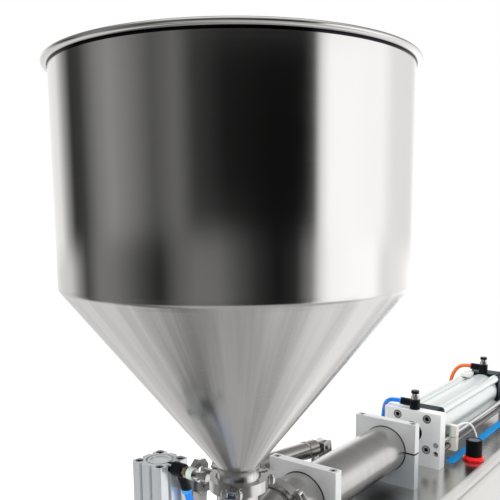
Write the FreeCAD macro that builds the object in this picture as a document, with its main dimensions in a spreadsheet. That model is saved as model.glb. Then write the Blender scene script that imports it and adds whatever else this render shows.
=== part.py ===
"""Semi-automatic horizontal piston filling machine, as a parametric document.

Frame: +X runs along the machine from the filling nozzle to the rear panel,
+Y points to the valve-actuator side and +Z is up. The origin is on the floor
plane, under the middle of the machine's box. All lengths are millimetres.
"""
import FreeCAD
import Part
import Sketcher
import math
import os
import re

SIZES = {
    # Table cabinet
    "table_top": 290,
    "cabinet_floor": 36,
    "cabinet_front": -440,
    "cabinet_rear": 585,
    "cabinet_width": 260,
    "sheet_wall": 2,
    "bend_radius": 12,
    "lip_width": 36,
    "foot_inset": 34,
    "foot_margin": 22,
    "foot_radius": 18,
    "stud_radius": 4,
    "panel_screw_radius": 4.5,
    "panel_screw_head": 3,
    "panel_screw_shank": 2,
    "panel_tab": 14,
    # Axes of the machine
    "axis_height": 60,
    "hopper_x": -383,
    "nozzle_reach": 130,
    "front_clamp_reach": 138,
    "clamp_pitch": 250,
    "block_reach": 107,
    # Fits
    "seat_gap": 0.1,
    "run_gap": 0.05,
    "free_gap": 0.3,
    # Pump cylinder and its two split clamps
    "pump_radius": 38,
    "pump_wall": 2,
    "pump_flange_radius": 45.5,
    "pump_joint_reach": 75,
    "flange_edge": 2.3,
    "flange_slope": 0.364,
    "gasket_thickness": 1.6,
    "clamp_width": 110,
    "clamp_top": 50,
    "clamp_thickness": 15,
    "split_gap": 1.4,
    "clamp_screw_side": 46.5,
    # Pump piston and rods
    "pump_piston_length": 30,
    "pump_piston_start": 4,
    "pump_piston_gap": 0.6,
    "seal_width": 5,
    "seal_depth": 3,
    "seal_inset": 6,
    "stroke": 250,
    "main_rod_radius": 10,
    "coupling_radius": 17,
    "coupling_length": 32,
    # Three-way valve
    "valve_radius": 36,
    "valve_half": 38,
    "valve_floor": 8,
    "rotor_radius": 27,
    "rotor_disc": 6,
    "plug_sweep": 88,
    "stem_radius": 8,
    "port_radius": 19,
    "cone_small_radius": 29,
    "cone_start": 38,
    "outlet_radius": 24,
    "outlet_reach": 58,
    "outlet_bore": 17,
    "cap_flange": 8,
    "cap_hex": 15,
    # Valve crank and its air cylinder
    "crank_radius": 48.2,
    "crank_side": 72,
    "crank_thickness": 8,
    "crank_width": 26,
    "crank_slot": 14,
    "crank_slot_end": 73,
    "crank_tip": 82,
    "hub_radius": 15,
    "line_tilt": 6.52,
    "pin_radius": 4,
    "fork_width": 24,
    "fork_height": 14,
    "fork_nose": 10,
    "fork_throat": 30,
    "fork_length": 40,
    "actuator_rod_radius": 5,
    "actuator_front": 112,
    "actuator_radius": 13.5,
    "actuator_bore": 11.5,
    "actuator_cap_radius": 14.5,
    "actuator_cap": 16,
    "actuator_tube": 120,
    "actuator_rear_cap": 34,
    "actuator_lug": 20,
    "lug_thickness": 10,
    "bracket_cheek": 6,
    "bracket_foot_length": 60,
    "bracket_foot_width": 46,
    # Hopper
    "hopper_radius": 200,
    "hopper_wall": 1.5,
    "hopper_joint": 72,
    "neck_radius": 25.5,
    "neck_bore": 23.5,
    "neck_top": 93,
    "cone_height": 222.5,
    "barrel_height": 233,
    "rim_bead": 5,
    "hopper_flange_radius": 32,
    # Flange clamps
    "ring_half": 7,
    "ring_wall": 4.4,
    "ring_lip": 4,
    "ring_gap_angle": 10,
    "hopper_bolt_angle": 88,
    "pump_bolt_angle": 112,
    "link_pin_radius": 2.2,
    "swing_bolt_radius": 3,
    "bolt_stand": 11,
    "hinge_stand": 4.5,
    "hinge_eye": 5.1,
    "wing_nut_radius": 6,
    "wing_nut_length": 11,
    "wing_turn": 25,
    # Nozzle
    "nozzle_body_radius": 21,
    "nozzle_bore": 16.5,
    "nozzle_tube_radius": 16,
    "nozzle_tube_wall": 1.5,
    "nozzle_end": 204,
    "nozzle_joint": 38,
    "tip_radius": 11,
    "tip_bore": 8.5,
    "tip_length": 22,
    "nut_radius": 28,
    "nut_length": 20,
    "nut_lip": 4,
    "union_flange": 4,
    "plunger_radius": 5,
    "plunger_travel": 12,
    "cylinder_side": 42,
    "cylinder_height": 80,
    "cylinder_seat": 60,
    "cylinder_bore": 14,
    "cylinder_screw_side": 15,
    # Mount block and main air cylinder
    "block_width": 108,
    "block_height": 100,
    "block_thickness": 22,
    "cap_side": 75,
    "cap_length": 36,
    "cap_corner": 7,
    "collar_radius": 22.5,
    "collar_length": 14,
    "block_bore": 19.5,
    "tie_side": 28.25,
    "tie_head": 8.2,
    "barrel_radius": 34.5,
    "barrel_bore": 31.5,
    "barrel_length": 300,
    "lobe_radius": 8.5,
    "air_piston_length": 24,
    "air_piston_start": 2,
    # Stroke-setting screw and sensors
    "rail_side": 46,
    "rail_drop": 17,
    "screw_drop": 33,
    "rail_radius": 5,
    "screw_end_set": 8,
    "support_gap": 10,
    "support_thickness": 12,
    "support_height": 58,
    "support_width": 40,
    "knob_gap": 3,
    "volume_knob_radius": 20,
    "volume_knob_length": 18,
    "bracket_lead": 2,
    "bracket_thickness": 12,
    "bracket_width": 22,
    "bracket_height": 47,
    "switch_thickness": 8,
    "switch_width": 9,
    "switch_height": 25,
    "strip_lead": 12,
    "strip_width": 16,
    "strip_side": 54,
    "strip_thickness": 0.6,
    # Pressure regulator
    "knob_x": 199,
    "knob_y": -84,
    "knob_radius": 14.5,
    "knob_height": 30,
    "lock_ring_radius": 19.25,
    "lock_ring_height": 8,
    "neck_thread_radius": 12,
    "spindle_radius": 3,
    # Flow controls and hoses
    "valve_body_radius": 9.3,
    "valve_body_height": 17.5,
    "valve_port_radius": 6.7,
    "valve_port_reach": 28,
    "valve_port_height": 11,
    "valve_nut_radius": 7.6,
    "valve_nut_height": 7,
    "valve_stem_radius": 4.5,
    "valve_stem_height": 5,
    "valve_knob_radius": 7.2,
    "valve_knob_height": 8,
    "small_share": 0.8,
    "rear_port_lead": 9,
    "nozzle_port_z": 485,
    "nozzle_port_lean": 20,
    "needle_collar_radius": 6.4,
    "needle_collar_length": 11,
    "needle_stem_radius": 3,
    "needle_grip_radius": 4.4,
    "needle_length": 26,
    "hose_radius": 4,
    "cable_radius": 1.75,
    "fitting_radius": 8,
    "fitting_height": 20,
    "block_fitting_x": 152,
    "block_fitting_y": 79,
    "rear_fitting_x": 474,
    "rear_fitting_y": 75,
    "front_fitting_y": -62,
    "front_fitting_z": 240,
    "grommet_x": 244,
    "grommet_y": -73,
    "grommet_radius": 5,
    "grommet_height": 6,
}

DOC = FreeCAD.newDocument("piston_filler")
SHEET = DOC.addObject("Spreadsheet::Sheet", "dims")
NODES = {}
COUNTER = {"next": 0}
UNIT = FreeCAD.Vector(0, 0, 1)
TURNS = {
    "Z": FreeCAD.Rotation(),
    "-Z": FreeCAD.Rotation(FreeCAD.Vector(1, 0, 0), 180),
    "X": FreeCAD.Rotation(FreeCAD.Vector(0, 1, 0), 90),
    "-X": FreeCAD.Rotation(FreeCAD.Vector(0, 1, 0), -90),
    "Y": FreeCAD.Rotation(FreeCAD.Vector(1, 0, 0), -90),
    "-Y": FreeCAD.Rotation(FreeCAD.Vector(1, 0, 0), 90),
}

# Places that several pieces share, as formulas over the sheet
AXIS_Z = "(table_top+axis_height)"
NOZZLE_X = "(hopper_x-nozzle_reach)"
FRONT_X = "(hopper_x+front_clamp_reach)"
REAR_X = "(hopper_x+front_clamp_reach+clamp_pitch)"
BLOCK_X = "(hopper_x+front_clamp_reach+clamp_pitch+block_reach)"
CAP_X = "(hopper_x+front_clamp_reach+clamp_pitch+block_reach+block_thickness)"
BARREL_X = "(hopper_x+front_clamp_reach+clamp_pitch+block_reach+block_thickness+cap_length)"
BORE_X = "(hopper_x+pump_joint_reach)"
BACK_CAP_X = BARREL_X + "+barrel_length"
SUPPORT_X = "(" + BACK_CAP_X + "+cap_length+support_gap)"
BRACKET_X = "(" + BARREL_X + "+bracket_lead)"
REAR_PORT_X = "(" + BACK_CAP_X + "+rear_port_lead)"
BLOCK_TOP = "(table_top+block_height)"
RAIL_Z = "(table_top+axis_height-rail_drop)"
SCREW_Z = "(table_top+axis_height-screw_drop)"
HOPPER_Z = "(table_top+axis_height+hopper_joint)"
SEAT_Z = "(table_top+axis_height+cylinder_seat)"


def fill_sheet():
    """Write every driving size to the sheet, one alias a row."""
    for row, (alias, value) in enumerate(SIZES.items(), 1):
        SHEET.set(f"A{row}", alias)
        SHEET.set(f"B{row}", str(value))
        SHEET.setAlias(f"B{row}", alias)
    DOC.recompute()


def mm(alias):
    """Value of one cell, for shapes that are worked out here."""
    return float(SHEET.get(alias))


def bound(text):
    """Point each size name in a formula at its cell."""
    def cell(word):
        name = word.group()
        return "dims." + name if name in SIZES else name
    return re.sub(r"[a-z_][a-z0-9_]*", cell, str(text))


def fresh(kind, stem):
    """A new object with a name of its own."""
    COUNTER["next"] += 1
    return DOC.addObject(kind, f"{stem}_{COUNTER['next']}")


def drive(thing, **sizes):
    """Bind properties to formulas over the sheet."""
    for prop, text in sizes.items():
        thing.setExpression(prop, bound(text))
    return thing


def put(thing, x, y, z, along="Z"):
    """Place a piece with its own Z turned to the given direction."""
    thing.Placement = FreeCAD.Placement(FreeCAD.Vector(), TURNS[along])
    for axis, text in zip("xyz", (x, y, z)):
        thing.setExpression("Placement.Base." + axis, bound(text))
    return thing


def block(x, y, z, length, width, height):
    """Box from its low corner."""
    thing = drive(fresh("Part::Box", "block"), Length=length, Width=width, Height=height)
    return put(thing, x, y, z)


def bar(radius, length, x, y, z, along="Z"):
    """Round bar from the centre of its first end."""
    thing = drive(fresh("Part::Cylinder", "bar"), Radius=radius, Height=length)
    return put(thing, x, y, z, along)


def six_sided(circumradius, length, x, y, z, along="Z"):
    """Hexagonal bar from the centre of its first end."""
    thing = drive(fresh("Part::Prism", "hexagon"), Circumradius=circumradius, Height=length)
    thing.Polygon = 6
    return put(thing, x, y, z, along)


def body_sketch(stem, plane):
    """A body with one sketch on one of its own origin planes."""
    body = fresh("PartDesign::Body", stem)
    sketch = body.newObject("Sketcher::SketchObject", body.Name + "_sketch")
    face = [item for item in body.Origin.OriginFeatures if item.Role == plane][0]
    sketch.AttachmentSupport = [(face, "")]
    sketch.MapMode = "FlatFace"
    return body, sketch


def outline(sketch, points):
    """Closed outline whose corners are held by formulas over the sheet."""
    count = len(points)
    start = [FreeCAD.Vector(50 * math.cos(6.28 * i / count), 50 * math.sin(6.28 * i / count), 0)
             for i in range(count)]
    first = sketch.GeometryCount
    for i in range(count):
        sketch.addGeometry(Part.LineSegment(start[i], start[(i + 1) % count]), False)
    for i in range(count):
        following = first + (i + 1) % count
        sketch.addConstraint(Sketcher.Constraint("Coincident", first + i, 2, following, 1))
    for i, corner in enumerate(points):
        for way, text, value in zip(("DistanceX", "DistanceY"), corner, start[i]):
            index = sketch.addConstraint(Sketcher.Constraint(way, first + i, 1, value))
            sketch.setExpression(f"Constraints[{index}]", bound(text))


def turned(points, x, y, z, along="Z", sweep=360):
    """Body turned from a closed outline of (radius, height) corners."""
    body, sketch = body_sketch("turned", "XZ_Plane")
    outline(sketch, points)
    feature = body.newObject("PartDesign::Revolution", body.Name + "_turn")
    feature.Profile = sketch
    feature.ReferenceAxis = (sketch, ["V_Axis"])
    drive(feature, Angle=sweep)
    sketch.Visibility = False
    return put(body, x, y, z, along)


def padded(points, height, x, y, z, along="Z"):
    """Body padded from a closed outline of (x, y) corners."""
    body, sketch = body_sketch("padded", "XY_Plane")
    outline(sketch, points)
    feature = body.newObject("PartDesign::Pad", body.Name + "_pad")
    feature.Profile = sketch
    drive(feature, Length=height)
    return put(body, x, y, z, along)


def rounded(body, radius, pick):
    """Round the edges of a body's last feature that pick accepts."""
    DOC.recompute()
    base = body.Tip
    names = [f"Edge{i}" for i, edge in enumerate(base.Shape.Edges, 1) if pick(edge)]
    feature = body.newObject("PartDesign::Fillet", body.Name + "_round")
    feature.Base = (base, names)
    drive(feature, Radius=radius)
    return body


def along_way(way):
    """Test for straight edges that run one way in the body's own frame."""
    direction = FreeCAD.Vector(*way)

    def test(edge):
        ends = [vertex.Point for vertex in edge.Vertexes]
        return len(ends) == 2 and abs((ends[1] - ends[0]).normalize() * direction) > 0.999
    return test


def joined(*things):
    """Several shapes as one solid."""
    if len(things) == 1:
        return things[0]
    thing = fresh("Part::MultiFuse", "joined")
    thing.Shapes = list(things)
    return thing


def cut(base, *tools):
    """One shape with others taken away."""
    thing = fresh("Part::Cut", "cut")
    thing.Base = base
    thing.Tool = joined(*tools)
    return thing


def kept(base, tool):
    """What two shapes share."""
    thing = fresh("Part::Common", "common")
    thing.Base = base
    thing.Tool = tool
    return thing


def together(*things):
    """Separate solids kept side by side in one node."""
    thing = fresh("Part::Compound", "together")
    thing.Links = list(things)
    return thing


def node(label, thing):
    """Name a finished sub-part; its label is its file's name."""
    thing.Label = label
    NODES[label] = thing
    return thing


def square(side):
    """Corners of a centred square."""
    half = f"({side})/2"
    return [("-" + half, "-" + half), (half, "-" + half), (half, half), ("-" + half, half)]


def rectangle(width, depth):
    """Corners of a centred rectangle."""
    across = f"({width})/2"
    deep = f"({depth})/2"
    return [("-" + across, "-" + deep), (across, "-" + deep), (across, deep), ("-" + across, deep)]


def socket_screw(size, length, x, y, z, along):
    """Socket-head screw; z is the bearing face and the shank runs the way of along."""
    head = turned([(0, f"-{size}"), (f"{size}*0.83", f"-{size}"), (f"{size}*0.83", 0),
                   (f"{size}/2", 0), (f"{size}/2", length), (0, length)], x, y, z, along)
    shift = f"0-{size}"
    recess = six_sided(f"{size}*0.5", f"{size}*0.6", *moved(x, y, z, along, shift), along)
    return cut(head, recess)


def moved(x, y, z, along, shift):
    """A place moved along a direction by a formula."""
    place = [str(x), str(y), str(z)]
    sign = "-" if along.startswith("-") else "+"
    index = "XYZ".index(along[-1])
    place[index] = f"{place[index]}{sign}({shift})"
    return place


# Cabinet

def cabinet():
    """Bent sheet cabinet with its floor, rear panel, feet and fasteners."""
    length = "cabinet_rear-cabinet_front"
    height = "table_top-cabinet_floor"
    half = "cabinet_width/2"

    def hood(x, long, inset, low):
        corners = [("-(" + half + "-" + inset + ")", low), (half + "-" + inset, low),
                   (half + "-" + inset, f"{height}-{inset}"),
                   ("-(" + half + "-" + inset + ")", f"{height}-{inset}")]
        body, sketch = body_sketch("hood", "YZ_Plane")
        outline(sketch, corners)
        pad = body.newObject("PartDesign::Pad", body.Name + "_pad")
        pad.Profile = sketch
        drive(pad, Length=long)
        top = mm("table_top") - mm("cabinet_floor") - mm("sheet_wall") * 1.5
        run = along_way((1, 0, 0))
        rounded(body, f"bend_radius-{inset}", lambda edge: run(edge) and edge.Vertexes[0].Point.z > top)
        return put(body, x, 0, "cabinet_floor")

    outer = hood("cabinet_front", length, "0", "0")
    inner = hood("cabinet_front+sheet_wall", length, "sheet_wall", "0-5")
    lips = [block("cabinet_front+sheet_wall", y, "cabinet_floor+sheet_wall",
                  f"{length}-sheet_wall", "lip_width", "sheet_wall")
            for y in (f"{half}-sheet_wall-lip_width", f"sheet_wall-{half}")]
    tabs = [block("cabinet_rear-panel_tab", y, z, "panel_tab", "sheet_wall*2", "panel_tab")
            for y in (f"{half}-sheet_wall*3", f"sheet_wall-{half}")
            for z in ("table_top-50", "cabinet_floor+40")]
    screw_places = [(f"{side}*({half}-sheet_wall*2)", z) for side in (1, -1)
                    for z in ("table_top-43", "cabinet_floor+47")]
    foot_places = [(x, f"{side}*({half}-foot_margin)") for x in ("cabinet_front+foot_inset", "cabinet_rear-foot_inset")
                   for side in (1, -1)]
    holes = [bar("stud_radius+seat_gap", 20, x, y, "cabinet_floor-8") for x, y in foot_places]
    holes += [bar("panel_screw_shank+seat_gap", "panel_tab*2", "cabinet_rear-panel_tab-1", y, z, "X")
              for y, z in screw_places]
    holes.append(bar("neck_thread_radius+free_gap", 10, "knob_x", "knob_y", "table_top-6"))
    holes.append(bar("grommet_radius-1.5+seat_gap", 10, "grommet_x", "grommet_y", "table_top-6"))
    holes += [bar("fitting_radius-2", 10, x, y, "table_top-6")
              for x, y in (("block_fitting_x", "block_fitting_y"), ("rear_fitting_x", "rear_fitting_y"))]
    holes.append(bar("fitting_radius-2", 10, "cabinet_front-4", "front_fitting_y", "front_fitting_z", "X"))
    shell = joined(cut(outer, inner), *lips, *tabs)
    node("cabinet_shell", cut(shell, *holes))

    plate = block("cabinet_front+sheet_wall+free_gap", f"sheet_wall+free_gap-{half}", "cabinet_floor",
                  f"{length}-sheet_wall-free_gap*2", "cabinet_width-sheet_wall*2-free_gap*2", "sheet_wall")
    stud_holes = [bar("stud_radius+seat_gap", 20, x, y, "cabinet_floor-8") for x, y in foot_places]
    node("bottom_plate", cut(plate, *stud_holes))

    panel = hood("cabinet_rear", "sheet_wall", "0", "0")
    panel_holes = [bar("panel_screw_shank+seat_gap", 10, "cabinet_rear-4", y, z, "X")
                   for y, z in screw_places]
    node("rear_panel", cut(panel, *panel_holes))

    screws = []
    for y, z in screw_places:
        screws.append(turned([(0, "0-panel_tab"), ("panel_screw_shank", "0-panel_tab"),
                              ("panel_screw_shank", 0), ("panel_screw_radius", 0),
                              ("panel_screw_radius*0.8", "panel_screw_head*0.75"),
                              ("panel_screw_radius*0.4", "panel_screw_head"), (0, "panel_screw_head")],
                             "cabinet_rear+sheet_wall", y, z, "X"))
    for x, y in foot_places:
        screws.append(turned([(0, "0-18"), ("stud_radius", "0-18"), ("stud_radius", "sheet_wall*2"),
                              ("stud_radius*1.8", "sheet_wall*2"), ("stud_radius*1.8", "sheet_wall*2+6"),
                              ("stud_radius", "sheet_wall*2+6"), ("stud_radius", "sheet_wall*2+12"),
                              (0, "sheet_wall*2+12")], x, y, "cabinet_floor"))
    node("cabinet_fasteners", together(*screws))

    feet = [turned([("stud_radius+seat_gap", "cabinet_floor"), ("stud_radius+seat_gap", "cabinet_floor-18"),
                    (0, "cabinet_floor-18.2"), (0, 0), ("foot_radius*0.92", 0), ("foot_radius", 3),
                    ("foot_radius", "cabinet_floor-12"), ("foot_radius*0.7", "cabinet_floor")], x, y, 0)
            for x, y in foot_places]
    node("rubber_feet", together(*feet))


def regulator():
    """Pressure regulator under the table, its lock ring and its knob."""
    ring_top = "table_top+lock_ring_height"
    housing = turned([(0, "table_top-62"), (21, "table_top-62"), (21, "table_top-sheet_wall-1"),
                      ("neck_thread_radius", "table_top-sheet_wall-1"),
                      ("neck_thread_radius", f"{ring_top}+1"), ("spindle_radius", f"{ring_top}+1"),
                      ("spindle_radius", f"{ring_top}+22"), (0, f"{ring_top}+22")],
                     "knob_x", "knob_y", 0)
    ports = block("knob_x-20", "knob_y-20", "table_top-98", 40, 40, 37)
    node("regulator_body", joined(housing, ports))
    node("knob_lock_ring", turned([("neck_thread_radius+seat_gap", "table_top"),
                                   ("lock_ring_radius-1", "table_top"),
                                   ("lock_ring_radius", "table_top+1"),
                                   ("lock_ring_radius", "table_top+4"),
                                   ("lock_ring_radius-3", ring_top),
                                   ("neck_thread_radius+seat_gap", ring_top)],
                                  "knob_x", "knob_y", 0))
    grip = turned([("spindle_radius+run_gap", f"{ring_top}+1.3"), ("neck_thread_radius+0.4", f"{ring_top}+1.3"),
                   ("neck_thread_radius+0.4", f"{ring_top}+free_gap"),
                   ("knob_radius-0.8", f"{ring_top}+free_gap"), ("knob_radius", f"{ring_top}+1.2"),
                   ("knob_radius", f"{ring_top}+knob_height-1.5"),
                   ("knob_radius-1.5", f"{ring_top}+knob_height"),
                   ("knob_radius-3", f"{ring_top}+knob_height"),
                   ("knob_radius-3.6", f"{ring_top}+knob_height-2"), (0, f"{ring_top}+knob_height-2"),
                   (0, f"{ring_top}+22.3"), ("spindle_radius+run_gap", f"{ring_top}+22.3")],
                  "knob_x", "knob_y", 0)
    node("pressure_knob", grip)


# Pump

def split_clamp(name, face):
    """Two halves of one clamp plate round the pump cylinder, and the two screws."""
    half = "clamp_width/2"
    bore = ("pump_radius+seat_gap", "clamp_thickness+4", f"{face}-2", 0, AXIS_Z, "X")
    middle = f"{face}+clamp_thickness/2"
    sides = ("clamp_screw_side", "0-clamp_screw_side")
    upper = block(face, "-" + half, AXIS_Z + "+split_gap/2", "clamp_thickness", "clamp_width",
                  "clamp_top-split_gap/2")
    shanks = [bar("3+seat_gap", "clamp_top*2", middle, y, AXIS_Z + "-clamp_top+20") for y in sides]
    sinks = [bar(5.6, 20, middle, y, AXIS_Z + "+clamp_top-6.4") for y in sides]
    node(name + "_clamp_upper", cut(upper, bar(*bore), *shanks, *sinks))
    lower = block(face, "-" + half, "table_top", "clamp_thickness", "clamp_width", "axis_height-split_gap/2")
    threads = [bar("3+seat_gap", "clamp_top*2", middle, y, AXIS_Z + "-28.2") for y in sides]
    node(name + "_clamp_lower", cut(lower, bar(*bore), *threads))
    return [socket_screw("6", "clamp_top+21", middle, y, AXIS_Z + "+clamp_top-6.4", "-Z") for y in sides]


def pump():
    """Pump cylinder with its front flange, piston, seals and rod to the air cylinder."""
    radius = "pump_radius"
    bore = "(pump_radius-pump_wall)"
    taper = "(pump_flange_radius-pump_radius-2)*flange_slope+flange_edge"
    tube = turned([(bore, 0), ("pump_flange_radius", 0), ("pump_flange_radius", "flange_edge"),
                   ("pump_radius+2", taper), (radius, f"{taper}+2"),
                   (radius, f"{REAR_X}+clamp_thickness+4-{BORE_X}"),
                   (bore, f"{REAR_X}+clamp_thickness+4-{BORE_X}")], BORE_X, 0, AXIS_Z, "X")
    node("material_cylinder", tube)
    length = "pump_piston_length"
    outer = f"({bore}-pump_piston_gap)"
    groove = f"({bore}-seal_depth)"
    low = "seal_inset"
    high = "(pump_piston_length-seal_inset-seal_width)"
    piston = turned([(0, 0), (f"{outer}-2", 0), (outer, 2), (outer, low), (groove, low),
                     (groove, f"{low}+seal_width"), (outer, f"{low}+seal_width"), (outer, high),
                     (groove, high), (groove, f"{high}+seal_width"), (outer, f"{high}+seal_width"),
                     (outer, length), (0, length)], f"{BORE_X}+pump_piston_start", 0, AXIS_Z, "X")
    node("material_piston", piston)
    rings = [turned([(f"{groove}+seat_gap", "0.1"), (f"{bore}-run_gap", "0.1"),
                     (f"{bore}-run_gap", "seal_width-0.1"), (f"{groove}+seat_gap", "seal_width-0.1")],
                    f"{BORE_X}+pump_piston_start+{place}", 0, AXIS_Z, "X") for place in (low, high)]
    node("piston_seals", together(*rings))
    start = f"({BORE_X}+pump_piston_start+pump_piston_length)"
    sleeve = bar("coupling_radius", "coupling_length", start, 0, AXIS_Z, "X")
    flats = kept(sleeve, block(start, "0-coupling_radius", AXIS_Z + "-coupling_radius*0.85",
                               "coupling_length", "coupling_radius*2", "coupling_radius*1.7"))
    node("rod_coupling", cut(flats, bar("main_rod_radius", 20, f"{start}+coupling_length-12", 0, AXIS_Z, "X")))
    rod_start = f"({start}+coupling_length-12)"
    rod_end = f"({BARREL_X}+air_piston_start+air_piston_length)"
    node("piston_rod", bar("main_rod_radius", f"{rod_end}-{rod_start}", rod_start, 0, AXIS_Z, "X"))
    node("air_piston", turned([("main_rod_radius", 0), ("barrel_bore-run_gap", 0),
                               ("barrel_bore-run_gap", "air_piston_length"),
                               ("main_rod_radius", "air_piston_length")],
                              f"{BARREL_X}+air_piston_start", 0, AXIS_Z, "X"))


# Flange clamps

def ferrule_clamp(flange, bolt_angle):
    """Three hinged segments, two links, a swing bolt and a wing nut round two flanges.

    The pieces are in a frame of their own: the pipe's axis is Z and the joint is at 0.
    """
    groove = f"({flange}+free_gap)"
    lip = f"({flange}-ring_lip)"
    outer = f"({flange}+ring_wall)"
    edge = "(gasket_thickness/2+flange_edge+free_gap)"
    slope = f"({edge}+(ring_lip+free_gap)*flange_slope)"
    profile = [(groove, f"0-{edge}"), (lip, f"0-{slope}"), (lip, "0-ring_half"), (outer, "0-ring_half"),
               (outer, "ring_half"), (lip, "ring_half"), (lip, slope), (groove, edge)]
    angle = mm(bolt_angle)
    gap = mm("ring_gap_angle")
    radius = {"hopper_flange_radius": mm("hopper_flange_radius"),
              "pump_flange_radius": mm("pump_flange_radius")}[flange] + mm("ring_wall")
    pin_ring = radius + mm("hinge_stand")
    swing = math.degrees(8.0 / pin_ring)
    bolt_stand = mm("bolt_stand")
    wing_turn = mm("wing_turn")

    def polar(reach, turn, z=0.0):
        rad = math.radians(turn)
        return FreeCAD.Vector(reach * math.cos(rad), reach * math.sin(rad), z)

    def spun(thing, turn):
        thing.Placement = FreeCAD.Placement(FreeCAD.Vector(), FreeCAD.Rotation(UNIT, turn))
        return thing

    segments = []
    for index in range(3):
        start = angle + gap / 2 + 120 * index
        part = spun(turned(profile, 0, 0, 0, sweep="120-ring_gap_angle"), start)
        ears = []
        for end, turn in ((0, start), (1, start + 120 - gap)):
            joint = (index + end) % 3
            if joint == 0:
                lug = drive(fresh("Part::Box", "lug"), Length="17", Width="5", Height="ring_half*2-1")
                side = 0 if end == 0 else -5
                lug.Placement = FreeCAD.Placement(
                    polar(radius - 2.5, turn), FreeCAD.Rotation(UNIT, turn)).multiply(
                    FreeCAD.Placement(FreeCAD.Vector(0, side, 0.5 - mm("ring_half")), FreeCAD.Rotation()))
                ears.append(lug)
            else:
                eye = drive(fresh("Part::Cylinder", "eye"), Radius="hinge_eye", Height="6")
                middle = turn + (swing - gap / 2 if end == 0 else gap / 2 - swing)
                eye.Placement.Base = polar(pin_ring, middle, -3)
                ears.append(eye)
        solid = joined(part, *ears)
        holes = []
        for end, turn in ((0, start), (1, start + 120 - gap)):
            if (index + end) % 3 == 0:
                hole = drive(fresh("Part::Box", "slot"), Length="20", Width="12",
                             Height="swing_bolt_radius*2+0.6")
                hole.Placement = FreeCAD.Placement(
                    polar(radius + 1.2, turn), FreeCAD.Rotation(UNIT, turn)).multiply(
                    FreeCAD.Placement(FreeCAD.Vector(0, -6, -mm("swing_bolt_radius") - 0.3),
                                      FreeCAD.Rotation()))
            else:
                hole = drive(fresh("Part::Cylinder", "eye_hole"), Radius="link_pin_radius+seat_gap", Height="8")
                middle = turn + (swing - gap / 2 if end == 0 else gap / 2 - swing)
                hole.Placement.Base = polar(pin_ring, middle, -4)
            holes.append(hole)
        segments.append(cut(solid, *holes))

    links = []
    for index in (1, 2):
        centre = angle + 120 * index
        plates = []
        for low in (3.3, -5.1):
            strap = drive(fresh("Part::Box", "strap"), Length="8.4", Width="16", Height="1.8")
            strap.Placement = FreeCAD.Placement(polar(pin_ring, centre), FreeCAD.Rotation(UNIT, centre)).multiply(
                FreeCAD.Placement(FreeCAD.Vector(-4.2, -8, low), FreeCAD.Rotation()))
            plates.append(strap)
            for turn in (centre - swing, centre + swing):
                end = drive(fresh("Part::Cylinder", "strap_end"), Radius="4.2", Height="1.8")
                end.Placement.Base = polar(pin_ring, turn, low)
                plates.append(end)
        pins = []
        for turn in (centre - swing, centre + swing):
            pin = drive(fresh("Part::Cylinder", "link_pin"), Radius="link_pin_radius", Height="13")
            pin.Placement.Base = polar(pin_ring, turn, -6.5)
            pins.append(pin)
        links.append(joined(*plates, *pins))

    middle = FreeCAD.Placement(polar(radius + bolt_stand, angle), FreeCAD.Rotation(UNIT, angle))
    down = FreeCAD.Rotation(FreeCAD.Vector(1, 0, 0), 90)
    seat = (radius + 14.5) * math.sin(math.radians(gap / 2)) + 5.3
    shank = drive(fresh("Part::Cylinder", "shank"), Radius="swing_bolt_radius", Height="44")
    shank.Placement = middle.multiply(FreeCAD.Placement(FreeCAD.Vector(0, seat + 4, 0), down))
    eye = drive(fresh("Part::Cylinder", "bolt_eye"), Radius="5", Height="7")
    eye.Placement = middle.multiply(FreeCAD.Placement(FreeCAD.Vector(0, seat + 5, -3.5), FreeCAD.Rotation()))
    bolt = joined(shank, eye)
    barrel = drive(fresh("Part::Cylinder", "nut_barrel"), Radius="wing_nut_radius", Height="wing_nut_length")
    barrel.Placement = middle.multiply(FreeCAD.Placement(FreeCAD.Vector(0, -seat, 0), down))
    wings = []
    for side in (1, -1):
        wing = together(padded([(f"{side}*3", 1), (f"{side}*6", 1), (f"{side}*12", 5), (f"{side}*15.5", 11),
                       (f"{side}*16", 18), (f"{side}*14", 20), (f"{side}*12", 15), (f"{side}*9", 11),
                       (f"{side}*3", "wing_nut_length")],
                               "3.4", 0, 0, 0))
        wing.Placement = middle.multiply(
            FreeCAD.Placement(FreeCAD.Vector(0, -seat, 0), down.multiply(
                FreeCAD.Rotation(FreeCAD.Vector(0, 0, 1), wing_turn)).multiply(
                FreeCAD.Rotation(FreeCAD.Vector(1, 0, 0), 90)))).multiply(
            FreeCAD.Placement(FreeCAD.Vector(0, 0, -1.7), FreeCAD.Rotation()))
        wings.append(wing)
    hole = drive(fresh("Part::Cylinder", "nut_hole"), Radius="swing_bolt_radius+run_gap", Height="40")
    hole.Placement = middle.multiply(FreeCAD.Placement(FreeCAD.Vector(0, 5 - seat, 0), down))
    nut = cut(joined(barrel, *wings), hole)
    return segments, links, bolt, nut


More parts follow.
